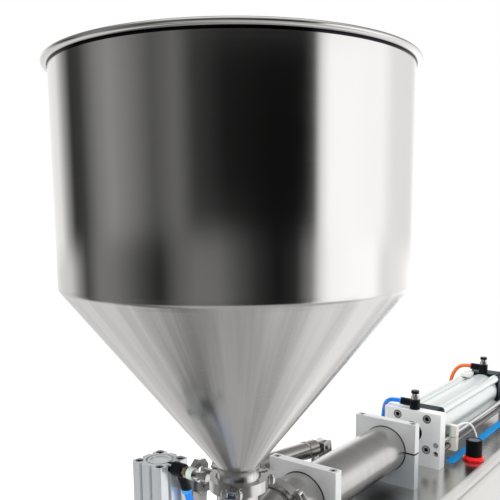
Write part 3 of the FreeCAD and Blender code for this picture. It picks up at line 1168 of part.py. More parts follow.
def pneumatics():
    """Three flow controls, the hoses between them and the cabinet, and the fittings."""
    cases = []
    places = (("block", f"{BLOCK_X}+block_thickness/2", 0, BLOCK_TOP, "Z", 90, "1"),
              ("rear", REAR_PORT_X, 0, f"{AXIS_Z}+cap_side/2", "Z", 90, "1"),
              ("nozzle", NOZZLE_X, "0-cylinder_side/2", "nozzle_port_z", "-Y", mm("nozzle_port_lean") - 90,
               "small_share"))
    for name, x, y, z, along, turn, grow in places:
        case, stem, knob = flow_control(x, y, z, along, turn, grow)
        cases += [case, stem]
        node(name + "_flow_knob", knob)
    node("flow_controls", together(*cases))

    profile = [(0, "0-10"), ("fitting_radius-2.2", "0-10"), ("fitting_radius-2.2", 0), ("fitting_radius", 0),
               ("fitting_radius", 6), ("fitting_radius-1", 6), ("fitting_radius-1", "fitting_height"),
               (0, "fitting_height")]
    fittings = [turned(profile, x, y, "table_top") for x, y in
                (("block_fitting_x", "block_fitting_y"), ("rear_fitting_x", "rear_fitting_y"))]
    fittings.append(turned(profile, "cabinet_front", "front_fitting_y", "front_fitting_z", "-X"))
    fittings.append(turned([(0, "0-6"), ("grommet_radius-1.5", "0-6"), ("grommet_radius-1.5", 0),
                            ("grommet_radius", 0), ("grommet_radius-1.5", "grommet_height"),
                            (0, "grommet_height")], "grommet_x", "grommet_y", "table_top"))
    node("hose_fittings", together(*fittings))

    hose = mm("hose_radius")
    port = mm("valve_port_reach")
    seat = mm("table_top") + mm("fitting_height")
    front_face = mm("hopper_x") + mm("front_clamp_reach") + mm("clamp_pitch") + mm("block_reach")
    block_x = front_face + mm("block_thickness") / 2
    block_z = mm("table_top") + mm("block_height") + mm("valve_port_height")
    fit_x = mm("block_fitting_x")
    fit_y = mm("block_fitting_y")
    cord("block_hose", [(block_x, port, block_z), (block_x, 39, block_z), (block_x + 2, 52, block_z - 2.5),
                        (block_x + 8, 62, block_z - 11), (block_x + 16, 69, block_z - 23.5),
                        (block_x + 23, 74, block_z - 39), (fit_x - 2, fit_y - 1.5, block_z - 56),
                        (fit_x, fit_y, seat + 17), (fit_x, fit_y, seat)], hose)
    barrel_x = front_face + mm("block_thickness") + mm("cap_length")
    rear_x = barrel_x + mm("barrel_length") + mm("rear_port_lead")
    rear_z = mm("table_top") + mm("axis_height") + mm("cap_side") / 2 + mm("valve_port_height")
    end_x = mm("rear_fitting_x")
    end_y = mm("rear_fitting_y")
    cord("rear_hose", [(rear_x, port, rear_z), (rear_x, 39, rear_z), (rear_x - 1, 51, rear_z - 2.5),
                       (rear_x - 2.5, 60.5, rear_z - 10.5), (rear_x - 4, 67, rear_z - 22),
                       (end_x, end_y - 4, rear_z - 36.5), (end_x, end_y - 1.5, rear_z - 53.5),
                       (end_x, end_y, seat + 17), (end_x, end_y, seat)], hose)
    lean = math.radians(mm("nozzle_port_lean"))
    drop_x = mm("hopper_x") - mm("nozzle_reach") + port * math.sin(lean)
    drop_y = -mm("cylinder_side") / 2 - mm("valve_port_height") * mm("small_share")
    drop_z = mm("nozzle_port_z") - port * math.cos(lean)
    wall_x = mm("cabinet_front") - mm("fitting_height")
    wall_y = mm("front_fitting_y")
    wall_z = mm("front_fitting_z")
    cord("nozzle_hose", [(drop_x, drop_y, drop_z),
                         (drop_x + 13 * math.sin(lean), drop_y, drop_z - 13 * math.cos(lean)),
                         (drop_x + 5.4, drop_y - 2.7, drop_z - 34.7), (drop_x + 1.4, drop_y - 9.2, drop_z - 64.7),
                         (drop_x - 5.6, drop_y - 18.2, drop_z - 95.7), (drop_x - 12.6, wall_y + 6, wall_z + 90),
                         (drop_x - 13.6, wall_y + 1.5, wall_z + 59), (drop_x - 5.6, wall_y, wall_z + 31),
                         (wall_x - 33, wall_y, wall_z + 10), (wall_x - 18, wall_y, wall_z),
                         (wall_x, wall_y, wall_z)], hose)
    clip_x = barrel_x + mm("bracket_lead") + mm("bracket_thickness") + mm("free_gap")
    clip_y = -mm("rail_side") - 9
    level = mm("table_top") + mm("axis_height")
    down_x = mm("grommet_x")
    down_y = mm("grommet_y")
    rest = mm("table_top") + mm("grommet_height")
    cord("sensor_cable", [(clip_x, clip_y, level), (clip_x + 10, clip_y, level),
                          (clip_x + 22, clip_y - 4, level + 3), (clip_x + 35, clip_y - 10, level + 1),
                          (clip_x + 46, down_y + 4, level - 8), (down_x - 6, down_y + 1, level - 21),
                          (down_x, down_y, level - 36), (down_x, down_y, rest)], mm("cable_radius"))


def main():
    """Build every sub-part, check it and write its file."""
    fill_sheet()
    cabinet()
    regulator()
    screws = split_clamp("front", FRONT_X) + split_clamp("rear", REAR_X)
    pump()
    flange_clamps()
    valve()
    valve_actuator()
    hopper()
    screws += nozzle()
    screws += main_air_cylinder()
    node("socket_screws", together(*screws))
    stroke_setting()
    pneumatics()
    DOC.recompute()
    faults = [thing.Name for thing in DOC.Objects
              if any(word in thing.State for word in ("Invalid", "Error"))]
    for label, thing in NODES.items():
        shape = thing.Shape
        if shape.isNull() or not shape.isValid() or not shape.Solids:
            faults.append(label)
    if faults:
        raise RuntimeError("these did not build: " + ", ".join(faults))
    os.makedirs("parts", exist_ok=True)
    for label, thing in NODES.items():
        thing.Shape.exportStep(f"parts/{label}.step")
    print(len(NODES), "sub-parts written")


main()
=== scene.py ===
"""Looks of a bench piston filling machine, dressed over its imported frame.

Each sub-assembly is a class with its sizes as fields. It gives the frame's nodes
their finishes and adds the pieces that the solids leave plain, such as weld beads,
threads and hoses. Lengths are metres in the frame's axes, except where a name or
comment says millimetres.
"""

from __future__ import annotations

import logging
import math
from dataclasses import dataclass
from enum import Enum
from functools import lru_cache
from typing import Sequence

import bpy
import numpy as np
from mathutils import Matrix, Vector

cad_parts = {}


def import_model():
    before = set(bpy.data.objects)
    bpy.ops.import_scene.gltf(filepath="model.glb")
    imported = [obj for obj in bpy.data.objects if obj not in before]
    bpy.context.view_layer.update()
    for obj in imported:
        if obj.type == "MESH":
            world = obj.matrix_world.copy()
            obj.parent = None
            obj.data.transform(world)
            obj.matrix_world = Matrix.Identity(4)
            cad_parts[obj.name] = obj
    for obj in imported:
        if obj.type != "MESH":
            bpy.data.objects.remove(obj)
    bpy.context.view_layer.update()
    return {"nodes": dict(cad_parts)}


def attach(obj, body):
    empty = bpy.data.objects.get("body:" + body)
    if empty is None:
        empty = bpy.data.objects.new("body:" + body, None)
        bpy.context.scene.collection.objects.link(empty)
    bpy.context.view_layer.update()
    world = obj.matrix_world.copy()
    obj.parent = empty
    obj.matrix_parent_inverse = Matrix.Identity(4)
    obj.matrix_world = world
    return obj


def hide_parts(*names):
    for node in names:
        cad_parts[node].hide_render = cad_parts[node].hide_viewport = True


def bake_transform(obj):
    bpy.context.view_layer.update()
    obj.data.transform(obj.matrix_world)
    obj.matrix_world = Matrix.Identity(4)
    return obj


log = logging.getLogger("filler")
Object, Material = bpy.types.Object, bpy.types.Material
Point = tuple[float, float, float]
Colour = tuple[float, float, float]
Span = tuple[float, float]
Ring = tuple[Span, ...]
ORIGIN: Point = (0.0, 0.0, 0.0)
MM = 0.001
# Keeps faces apart that would coincide
HAIR = 0.0001
# Rate of noise along lines: straight ones as a share of that across, turned ones per radian
LINE_STRETCH = 0.02
TURN_RATE = 0.6


class Grain(Enum):
    """Which way the fine lines of a metal finish run."""

    ALONG_X = "along x"
    ALONG_Y = "along y"
    ALONG_Z = "along z"
    AROUND_X = "around x"
    AROUND_Y = "around y"
    AROUND_Z = "around z"
    NONE = "none"


# Shader sums


class Nodes:
    """A node tree, with the one method that puts nodes into it."""

    def __init__(self, tree: bpy.types.NodeTree) -> None:
        """Hold the tree."""
        self.tree = tree

    def make(self, kind: str, settings: dict[str, object] | None = None,
             sockets: dict[int | str, Term] | None = None, out: int | str = 0) -> Socket:
        """Add a node.

        Args:
            kind: Blender's name of the node type.
            settings: its properties, set first; "stops" gives a ramp's (place, brightness) pairs.
            sockets: values or links of its inputs, by name or number.
            out: name or number of the output to return.

        Returns:
            That output.
        """
        made = self.tree.nodes.new(kind)
        for name, value in (settings or {}).items():
            if name == "stops":
                self.stops(made.color_ramp, value)
            else:
                setattr(made, name, value)
        for slot, term in (sockets or {}).items():
            self.join(made.inputs[slot], term)
        return Socket(self, made.outputs[out])

    def join(self, slot: bpy.types.NodeSocket, term: Term) -> None:
        """Link a socket into an input, or set the input's own value.

        Args:
            slot: input socket.
            term: socket to link, value to set, or None to leave it.
        """
        if term is None:
            return
        if isinstance(term, Socket):
            self.tree.links.new(term.out, slot)
        elif isinstance(term, tuple) and slot.type == "RGBA" and len(term) == 3:
            slot.default_value = (*term, 1.0)
        else:
            slot.default_value = term

    @staticmethod
    def stops(ramp: bpy.types.ColorRamp, pairs: Sequence[Span]) -> None:
        """Set a ramp's stops.

        Args:
            ramp: the ramp.
            pairs: (place, brightness) pairs, the first at nought and the last at one.
        """
        for place, _ in pairs[1:-1]:
            ramp.elements.new(place)
        for element, (_, light) in zip(ramp.elements, pairs):
            element.color = (light, light, light, 1.0)


class Socket:
    """One output socket of a node tree, with sums that add Math nodes."""

    def __init__(self, nodes: Nodes, out: bpy.types.NodeSocket) -> None:
        """Hold a socket and the tree that it is in."""
        self.nodes = nodes
        self.out = out

    def output(self, name: str) -> Socket:
        """Another output of the node that this socket belongs to."""
        return Socket(self.nodes, self.out.node.outputs[name])

    def maths(self, operation: str, other: Term = None, clamp: bool = False) -> Socket:
        """Add a Math node with this socket as its first input."""
        settings = {"operation": operation, "use_clamp": clamp}
        return self.nodes.make("ShaderNodeMath", settings, {0: self, 1: other})

    def __add__(self, other: Term) -> Socket:
        """Sum, with the number on either side."""
        return self.maths("ADD", other)

    __radd__ = __add__

    def __sub__(self, other: Term) -> Socket:
        """Difference."""
        return self.maths("SUBTRACT", other)

    def __rsub__(self, other: float) -> Socket:
        """Difference with a number first."""
        return self * -1.0 + other

    def __mul__(self, other: Term) -> Socket:
        """Product, with the number on either side."""
        return self.maths("MULTIPLY", other)

    __rmul__ = __mul__

    def __truediv__(self, other: Term) -> Socket:
        """Quotient."""
        return self.maths("DIVIDE", other)

    def __rtruediv__(self, other: float) -> Socket:
        """Quotient with a number first."""
        return self.maths("POWER", -1.0) * other

    def step(self, start: float, stop: float) -> Socket:
        """Nought before the start, one past the stop, a straight ramp between."""
        return ((self - start) * (1.0 / (stop - start))).maths("ADD", 0.0, clamp=True)

    def within(self, low: float, high: float) -> Socket:
        """One between two limits, else nought."""
        return self.maths("GREATER_THAN", low) * self.maths("LESS_THAN", high)


Term = Socket | float | tuple | None


class Paint:
    """A material under construction: its tree, its shader and its coordinates."""

    def __init__(self, name: str) -> None:
        """Start a material with a Principled shader.

        Args:
            name: the material's name.
        """
        self.material = bpy.data.materials.new(name)
        self.material.use_nodes = True
        self.nodes = Nodes(self.material.node_tree)
        self.shader = self.material.node_tree.nodes["Principled BSDF"]

    def place(self, centre: Point = ORIGIN) -> tuple[Socket, ...]:
        """Object coordinates about a centre.

        Args:
            centre: point that becomes the origin.

        Returns:
            The three coordinates.
        """
        coords = self.nodes.make("ShaderNodeTexCoord", out="Object")
        moved = self.nodes.make("ShaderNodeMapping", None, {0: coords, 1: tuple(-c for c in centre)})
        split_shade = self.nodes.make("ShaderNodeSeparateXYZ", None, {0: moved})
        return split_shade, split_shade.output("Y"), split_shade.output("Z")

    def noise(self, x: Term, y: Term, z: Term, scale: float = 1.0, detail: float = 2.0) -> Socket:
        """Noise from nought to one.

        Args:
            x: first coordinate.
            y: second one.
            z: third one.
            scale: its frequency.
            detail: how many finer layers it has.

        Returns:
            The noise's value.
        """
        where = self.nodes.make("ShaderNodeCombineXYZ", None, {0: x, 1: y, 2: z})
        sockets = {"Vector": where, "Scale": scale, "Detail": detail}
        return self.nodes.make("ShaderNodeTexNoise", None, sockets)

    def mix(self, share: Term, first: Term, second: Term) -> Socket:
        """Colour mix: the first at nought, the second at one."""
        return self.nodes.make("ShaderNodeMix", {"data_type": "RGBA"}, {0: share, 6: first, 7: second}, out=2)

    def set(self, **values: Term) -> None:
        """Feed the shader's inputs.

        Args:
            values: values or links, each under its input's name with underscores for blanks.
        """
        for name, term in values.items():
            title = "Specular IOR Level" if name == "specular" else name.replace("_", " ").title()
            self.nodes.join(self.shader.inputs[title], term)

    def bump(self, height: Socket, strength: float, depth: float) -> None:
        """Feed the shader's normal from a height of about nought to one, depth metres deep."""
        sockets = {"Strength": strength, "Distance": depth, "Height": height}
        self.set(normal=self.nodes.make("ShaderNodeBump", None, sockets))

    def grain(self, grain: Grain, centre: Point, fine: float) -> Socket:
        """Noise drawn out into lines.

        Args:
            grain: which way the lines run.
            centre: a point on the axis that turned lines run round.
            fine: lines per metre, roughly.

        Returns:
            The noise's value.
        """
        x, y, z = self.place(centre)
        if grain is Grain.NONE:
            return self.noise(x, y, z, fine)
        straight = (Grain.ALONG_X, Grain.ALONG_Y, Grain.ALONG_Z)
        if grain in straight:
            rates = [fine * LINE_STRETCH if grain is way else fine for way in straight]
            return self.noise(x * rates[0], y * rates[1], z * rates[2], detail=3.0)
        axial, one, two = {Grain.AROUND_X: (x, y, z), Grain.AROUND_Y: (y, x, z),
                           Grain.AROUND_Z: (z, x, y)}[grain]
        reach = (one * one + two * two).maths("SQRT")
        turn = one.maths("ARCTAN2", two)
        return self.noise(axial * fine, reach * fine, turn * TURN_RATE, detail=3.0)

    def wear(self, grain: Grain, centre: Point, fine: float, broad: float,
             roughness: float) -> tuple[Socket, ...]:
        """Worn metal skin: fine lines, broad streaks and handling marks.

        Args:
            grain: which way the lines run.
            centre: a point on the axis that turned lines run round.
            fine: fine lines per metre, roughly.
            broad: broad streaks per metre, roughly.
            roughness: mean roughness.

        Returns:
            The lines, the tone from nought to one, and the roughness.
        """
        lines = self.grain(grain, centre, fine)
        streaks = self.grain(grain, centre, broad)
        marks = self.noise(*self.place(), scale=14.0, detail=4.0)
        tone = lines * 0.4 + streaks * 0.35 + marks * 0.25
        # The mean of each noise is about a half, so half of the three shares comes off
        return lines, tone, lines * 0.07 + streaks * 0.06 + marks * 0.05 + (roughness - 0.09)


# Finishes


def shade(colour: Colour, share: float) -> Colour:
    """A colour made darker by a share of itself."""
    return tuple(part * (1.0 - share) for part in colour)


@dataclass(frozen=True)
class Metal:
    """Bare metal with fine lines, broad streaks and faint handling marks."""

    name: str
    colour: Colour
    roughness: float
    grain: Grain = Grain.NONE
    centre: Point = ORIGIN
    fine: float = 900.0
    contrast: float = 0.10
    depth: float = 0.00003
    metallic: float = 1.0

    def build(self) -> Material:
        """Make the material.

        Returns:
            The material.
        """
        paint = Paint(self.name)
        lines, tone, rough = paint.wear(self.grain, self.centre, self.fine, self.fine * 0.07, self.roughness)
        paint.set(base_color=paint.mix(tone, shade(self.colour, self.contrast), self.colour),
                  roughness=rough, metallic=self.metallic)
        paint.bump(lines, 0.5, self.depth)
        return paint.material


@dataclass(frozen=True)
class Plastic:
    """Moulded plastic or rubber with a fine skin and a little unevenness."""

    name: str
    colour: Colour
    roughness: float = 0.4
    skin: float = 700.0
    depth: float = 0.00005
    contrast: float = 0.12
    coat: float = 0.0
    specular: float = 0.5

    def build(self) -> Material:
        """Make the material.

        Returns:
            The material.
        """
        paint = Paint(self.name)
        place = paint.place()
        cloud = paint.noise(*place, 22.0, 3.0)
        paint.set(base_color=paint.mix(cloud, shade(self.colour, self.contrast), self.colour),
                  roughness=cloud * 0.12 + (self.roughness - 0.06), coat_weight=self.coat,
                  specular=self.specular)
        paint.bump(paint.noise(*place, self.skin), 0.35, self.depth)
        return paint.material


@dataclass(frozen=True)
class SpunSteel:
    """Spun sheet with turned lines, a satin streaky cone and a line of painted shade under the rolled rim."""

    name: str
    colour: Colour
    centre: Point
    knee_z: float
    # Height and radius of the painted shade line under the rolled rim
    lap_z: float
    lap_radius: float
    barrel_rough: float = 0.12
    cone_rough: float = 0.25
    line_rough: float = 0.06
    streak_rough: float = 0.10
    fine: float = 1100.0
    line_depth: float = 0.000006
    wave_depth: float = 0.0015
    streaks_round: float = 7.0
    streaks_up: float = 2.5
    streak_range: Span = (0.42, 0.62)
    streak_share: float = 0.45
    knee_blend: float = 0.006
    # Height, reach and colour of the painted shade line under the rolled rim
    lap_height: float = 0.0024
    lap_in: float = 0.0004
    lap_out: float = 0.0012
    lap_colour: Colour = (0.02, 0.02, 0.025)

    def build(self) -> Material:
        """Make the material.

        Returns:
            The material.
        """
        paint = Paint(self.name)
        x, y, z = paint.place(self.centre)
        reach = (x * x + y * y).maths("SQRT")
        lines = paint.grain(Grain.AROUND_Z, self.centre, self.fine)
        streaks = paint.noise(x / reach * self.streaks_round, y / reach * self.streaks_round,
                              z * self.streaks_up, detail=4.0)
        cone = 1.0 - z.step(self.knee_z - self.knee_blend, self.knee_z + self.knee_blend)
        # Painted shade: a near-black line on the barrel just under the rolled rim, where the crevice is
        # shaded
        rim_shade = (z.within(self.lap_z - self.lap_height, self.lap_z)
               * reach.within(self.lap_radius - self.lap_in, self.lap_radius + self.lap_out))
        tone = paint.mix(lines * 0.5 + streaks * 0.5, shade(self.colour, 0.07), self.colour)
        tone = paint.mix(cone * streaks.step(*self.streak_range) * self.streak_share, tone,
                         shade(self.colour, 0.42))
        rougher = self.cone_rough - self.barrel_rough - self.streak_rough / 2
        paint.set(base_color=paint.mix(rim_shade, tone, self.lap_colour), metallic=1.0,
                  roughness=lines * self.line_rough + cone * (streaks * self.streak_rough + rougher)
                  + (self.barrel_rough - self.line_rough / 2))
        paint.bump(lines * (self.line_depth / self.wave_depth) + streaks * cone, 0.5, self.wave_depth)
        return paint.material


@dataclass(frozen=True)
class BrushedSheet:
    """Brushed sheet, paler along the table's long edges, with painted shade and reflection under the pump
    between its clamps.
    """

    name: str
    colour: Colour
    table_z: float
    edge_y: float
    roughness: float = 0.23
    fine: float = 1500.0
    broad: float = 110.0
    top_skin: Span = (-0.003, -0.001)
    edge_fade: Span = (-0.003, 0.004)
    edge_dull: float = 0.62
    edge_rough: float = 0.15
    # Box, blend and strength of the painted shade and reflection of the pump tube on the table
    shade_x: Span = (-0.22, 0.0)
    shade_y: Span = (0.030, 0.062)
    shade_blend: float = 0.02
    shade_share: float = 0.65
    shade_colour: Colour = (0.06, 0.06, 0.06)

    def build(self) -> Material:
        """Make the material.

        Returns:
            The material.
        """
        paint = Paint(self.name)
        x, y, z = paint.place()
        aside = y.maths("ABSOLUTE")
        lines, tone, rough = paint.wear(Grain.ALONG_X, ORIGIN, self.fine, self.broad, self.roughness)
        top = z.step(*(self.table_z + skin for skin in self.top_skin))
        edge = aside.step(*(self.edge_y + fade for fade in self.edge_fade)) * top
        front, back = (x.step(end - self.shade_blend, end + self.shade_blend) for end in self.shade_x)
        # Painted shade and reflection: the table top under the pump tube is darkened towards near black
        tube_shade = (1.0 - aside.step(*self.shade_y)) * front * (1.0 - back) * top
        tone = paint.mix(tone, shade(self.colour, 0.2), self.colour)
        paint.set(base_color=paint.mix(tube_shade * self.shade_share, tone, self.shade_colour),
                  metallic=1.0 - edge * self.edge_dull, roughness=rough + edge * self.edge_rough)
        paint.bump(lines, 0.5, 0.00003)
        return paint.material


@dataclass(frozen=True)
class Zone:
    """A box, in millimetres, in which a node of several materials has its own one."""

    low: Point
    high: Point
    colour: Colour
    metal: float = 0.0
    roughness: float = 0.25


@dataclass(frozen=True)
class Zoned:
    """A base finish with other finishes inside boxes."""

    name: str
    base: Colour
    zones: tuple[Zone, ...]
    metal: float = 0.0
    roughness: float = 0.32
    specular: float = 0.2
    contrast: float = 0.25

    def build(self) -> Material:
        """Make the material.

        Returns:
            The material.
        """
        paint = Paint(self.name)
        place = paint.place()
        cloud = paint.noise(*place, 90.0, 3.0)
        colour = paint.mix(cloud, shade(self.base, self.contrast), self.base)
        metal, rough = self.metal, self.roughness
        for zone in self.zones:
            spans = [axis.within(low * MM, high * MM) for axis, low, high in zip(place, zone.low, zone.high)]
            inside = spans[0] * spans[1] * spans[2]
            colour = paint.mix(inside, colour, paint.mix(cloud, shade(zone.colour, 0.15), zone.colour))
            metal = inside * (zone.metal - self.metal) + metal
            rough = inside * (zone.roughness - self.roughness) + rough
        paint.set(base_color=colour, metallic=metal, roughness=rough, specular=self.specular)
        paint.bump(cloud, 0.3, 0.00004)
        return paint.material


Finish = Metal | Plastic | SpunSteel | BrushedSheet | Zoned


# Mesh makers


def show(piece: Object) -> Object:
    """Put an object into the scene and give it back."""
    bpy.context.scene.collection.objects.link(piece)
    return piece


def mesh_object(name: str, verts: np.ndarray, faces: np.ndarray, sharp: float = 40.0) -> Object:
    """Put arrays into a mesh object in the scene.

    Args:
        name: the object's name.
        verts: vertices, n by 3.
        faces: quads, m by 4.
        sharp: angle in degrees above which an edge stays sharp.

    Returns:
        The object.
    """
    mesh = bpy.data.meshes.new(name)
    mesh.from_pydata(verts.tolist(), [], faces.tolist())
    mesh.update()
    mesh.polygons.foreach_set("use_smooth", np.ones(len(mesh.polygons), bool))
    mesh.set_sharp_from_angle(angle=math.radians(sharp))
    return show(bpy.data.objects.new(name, mesh))


def grid_faces(rows: int, columns: int, round_rows: bool, round_columns: bool) -> np.ndarray:
    """Quads of a grid whose rows and columns may close on themselves.

    Each quad joins point (i, j) to (i+1, j), (i+1, j+1) and (i, j+1), counted modulo
    the grid's size where it closes.

    Args:
        rows: number of rows of points.
        columns: number of points in a row.
        round_rows: whether the last row joins the first.
        round_columns: whether the last point of a row joins its first.

    Returns:
        Indices, m by 4.
    """
    i = np.arange(rows if round_rows else rows - 1)[:, None]
    j = np.arange(columns if round_columns else columns - 1)[None, :]
    row, next_row, next_j = i * columns, (i + 1) % rows * columns, (j + 1) % columns
    return np.stack([row + j, next_row + j, next_row + next_j, row + next_j], -1).reshape(-1, 4)


def axis_frame(axis: Sequence[float]) -> np.ndarray:
    """Directions that go with an axis.

    Args:
        axis: its direction.

    Returns:
        Three unit rows: across, across and along.
    """
    along = np.array(axis, float) / np.linalg.norm(axis)
    helper = (0.0, 0.0, 1.0) if abs(along[2]) < 0.9 else (1.0, 0.0, 0.0)
    across = np.cross(helper, along)
    across /= np.linalg.norm(across)
    return np.stack([across, np.cross(along, across), along])


def turned(name: str, profile: Sequence[Span], centre: Point,
           axis: Sequence[float] = (0, 0, 1), sides: int = 96, sharp: float = 35.0,
           flutes: int = 0, flute_depth: float = 0.0, fluted_from: float = math.inf) -> Object:
    """Surface of revolution of a closed profile, with flutes cut into its widest part.

    A point is centre + r cos(t) across + r sin(t) other across + h along, for each
    (r, h) of the profile and each turn t. Where the profile's r reaches the fluted
    radius, the flute depth times (1 - |cos(n t / 2)|) squared comes off it.

    Args:
        name: the object's name.
        profile: (radius, height) corners, closed, walked with the metal on the left.
        centre: the point of the axis where the height is nought.
        axis: direction of the axis.
        sides: points round the circle.
        sharp: angle in degrees above which an edge stays sharp.
        flutes: number of flutes round the circle.
        flute_depth: how deep they are.
        fluted_from: radius from which the profile is fluted.

    Returns:
        The object.
    """
    shape = np.array(profile, float)
    turn = np.linspace(0, 2 * math.pi, sides, endpoint=False)
    rows = axis_frame(axis)
    ring = np.cos(turn)[:, None] * rows[0] + np.sin(turn)[:, None] * rows[1]
    ridge = (1.0 - np.abs(np.cos(turn * flutes / 2))) ** 2 if flutes else np.zeros(sides)
    reach = shape[None, :, 0] - flute_depth * ridge[:, None] * (shape[None, :, 0] >= fluted_from)
    verts = np.array(centre) + reach[..., None] * ring[:, None, :] + shape[None, :, 1:] * rows[2]
    return mesh_object(name, verts.reshape(-1, 3), grid_faces(sides, len(shape), True, True), sharp)


def arc(centre: Span, radius: float, start: float, stop: float, steps: int,
        squash: float = 1.0) -> list[Span]:
    """Points of an arc in a profile, centre plus radius times (cos, squash sin).

    Args:
        centre: (radius, height) of its middle.
        radius: its half width.
        start: first angle, degrees.
        stop: last angle, degrees.
        steps: number of points.
        squash: half height as a share of the half width.

    Returns:
        The points.
    """
    turn = np.radians(np.linspace(start, stop, steps))
    return [(centre[0] + radius * math.cos(t), centre[1] + squash * radius * math.sin(t)) for t in turn]


def thread(name: str, centre: Point, axis: Sequence[float], radius: float, depth: float, pitch: float,
           length: float, starts: int = 1, sides: int = 28) -> Object:
    """Threaded shank: a closed tube whose radius follows a triangle wave.

    A point at height h and turn t has radius r - depth * |2 frac(h / pitch - starts t / 2 pi) - 1|.

    Args:
        name: the object's name.
        centre: start of the shank's axis.
        axis: direction of the shank.
        radius: crest radius.
        depth: depth of the thread.
        pitch: distance from crest to crest.
        length: length of the shank.
        starts: number of threads side by side.
        sides: points round the circle.

    Returns:
        The object.
    """
    turn = np.linspace(0, 2 * math.pi, sides, endpoint=False)
    rows_per_pitch = 6
    height = np.linspace(0, length, max(4, int(length / pitch * rows_per_pitch)))
    phase = (height[:, None] / pitch - starts * turn[None, :] / (2 * math.pi)) % 1.0
    reach = radius - depth * np.abs(2 * phase - 1)
    reach[0] = reach[-1] = 0.0
    rows = axis_frame(axis)
    ring = np.cos(turn)[None, :, None] * rows[0] + np.sin(turn)[None, :, None] * rows[1]
    verts = np.array(centre) + reach[..., None] * ring + height[:, None, None] * rows[2]
    faces = grid_faces(len(height), sides, False, True)[:, ::-1]
    return mesh_object(name, verts.reshape(-1, 3), faces, 60.0)


def pipe(name: str, path: np.ndarray, radius: float, sides: int = 16) -> Object:
    """Round tube along a path, closed at both ends.

    Each ring is centre + radius (cos(t) side + sin(t) up), where side and up are the
    two directions square to the path there, worked out from one fixed helper line.

    Args:
        name: the object's name.
        path: points of the centreline, n by 3.
        radius: radius of the tube.
        sides: points round the circle.

    Returns:
        The object.
    """
    along = np.gradient(path, axis=0)
    along /= np.linalg.norm(along, axis=1)[:, None]
    helper = (0.3, 0.9, 0.2)
    side = np.cross(along, helper)
    side /= np.linalg.norm(side, axis=1)[:, None]
    up = np.cross(along, side)
    turn = np.linspace(0, 2 * math.pi, sides, endpoint=False)
    ring = np.cos(turn)[None, :, None] * side[:, None] + np.sin(turn)[None, :, None] * up[:, None]
    first, last = (np.repeat(end, sides, 1) for end in (path[:1, None], path[-1:, None]))
    verts = np.concatenate([first, path[:, None] + radius * ring, last])
    return mesh_object(name, verts.reshape(-1, 3), grid_faces(len(verts), sides, False, True), 50.0)


# Dressing


@lru_cache(maxsize=None)
def material(finish: Finish) -> Material:
    """A finish's material, made once."""
    return finish.build()


@dataclass
class Assembly:
    """A sub-assembly, which finishes the frame's nodes and adds pieces of its own."""

    nodes: dict[str, Object]

    def wear(self, finish: Finish, *pieces: str | Object) -> None:
        """Put a finish on nodes, named, or on new pieces.

        Args:
            finish: the finish.
            pieces: nodes' names or objects.
        """
        for piece in pieces:
            thing = self.nodes[piece] if isinstance(piece, str) else piece
            if not thing.data.materials:
                thing.data.materials.append(material(finish))
            for slot in thing.material_slots:
                slot.material = material(finish)

    def add(self, piece: Object, body: str, finish: Finish, slot: str, *stands_for: str) -> None:
        """Finish a new piece and what it replaces, and let it ride on a body.

        Args:
            piece: the object.
            body: name of the body it moves with.
            finish: its finish.
            slot: not used.
            stands_for: nodes that it replaces.
        """
        self.wear(finish, piece, *stands_for)
        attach(piece, body)
        if stands_for:
            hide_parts(*stands_for)
        log.info("piece %s rides on %s", piece.name, body)


@dataclass(frozen=True)
class Hose:
    """Hose or cable on a smooth line with its route's points, in millimetres, as control points."""

    name: str
    node: str
    route: tuple[Point, ...]
    radius: float
    length: float
    finish: Plastic
    slot: str
    stiffness: str = "medium"

    def line(self, bevel: float) -> Object:
        """The hose's centreline as a curve object.

        Args:
            bevel: radius of the round section, or nought for a bare line.

        Returns:
            The curve object.
        """
        data = bpy.data.curves.new(self.name, "CURVE")
        data.dimensions = "3D"
        data.resolution_u = 10
        data.bevel_depth = bevel
        data.bevel_resolution = 6
        data.use_fill_caps = bevel > 0
        spline = data.splines.new("NURBS")
        spline.points.add(len(self.route) - 1)
        spline.points.foreach_set("co", [c for p in self.route for c in (*(v * MM for v in p), 1.0)])
        spline.order_u = 3
        spline.use_endpoint_u = True
        return show(bpy.data.objects.new(self.name, data))

    def lay(self, owner: Assembly) -> None:
        """Args:
            owner: sub-assembly that it belongs to.
        """
        piece = self.line(self.radius)
        owner.add(piece, "frame", self.finish, self.slot, self.node)

    def stretch(self, owner: Assembly, one: str, other: str) -> None:
        """Lay a cable between two bodies as a fixed mesh tube along its line.

        Args:
            owner: sub-assembly that it belongs to.
            one: body at its first end, only named in the log.
            other: body at its last end, only named in the log.
        """
        bare = self.line(0.0)
        bpy.context.view_layer.update()
        data = bpy.data.meshes.new_from_object(bare)
        path = np.empty(len(data.vertices) * 3)
        data.vertices.foreach_get("co", path)
        path = path.reshape(-1, 3)
        bpy.data.objects.remove(bare)
        tube = pipe(self.name, path, self.radius)
        owner.wear(self.finish, self.node, tube)
        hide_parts(self.node)
        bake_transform(tube)
        log.info("piece %s bends between %s and %s", tube.name, one, other)


# The stage


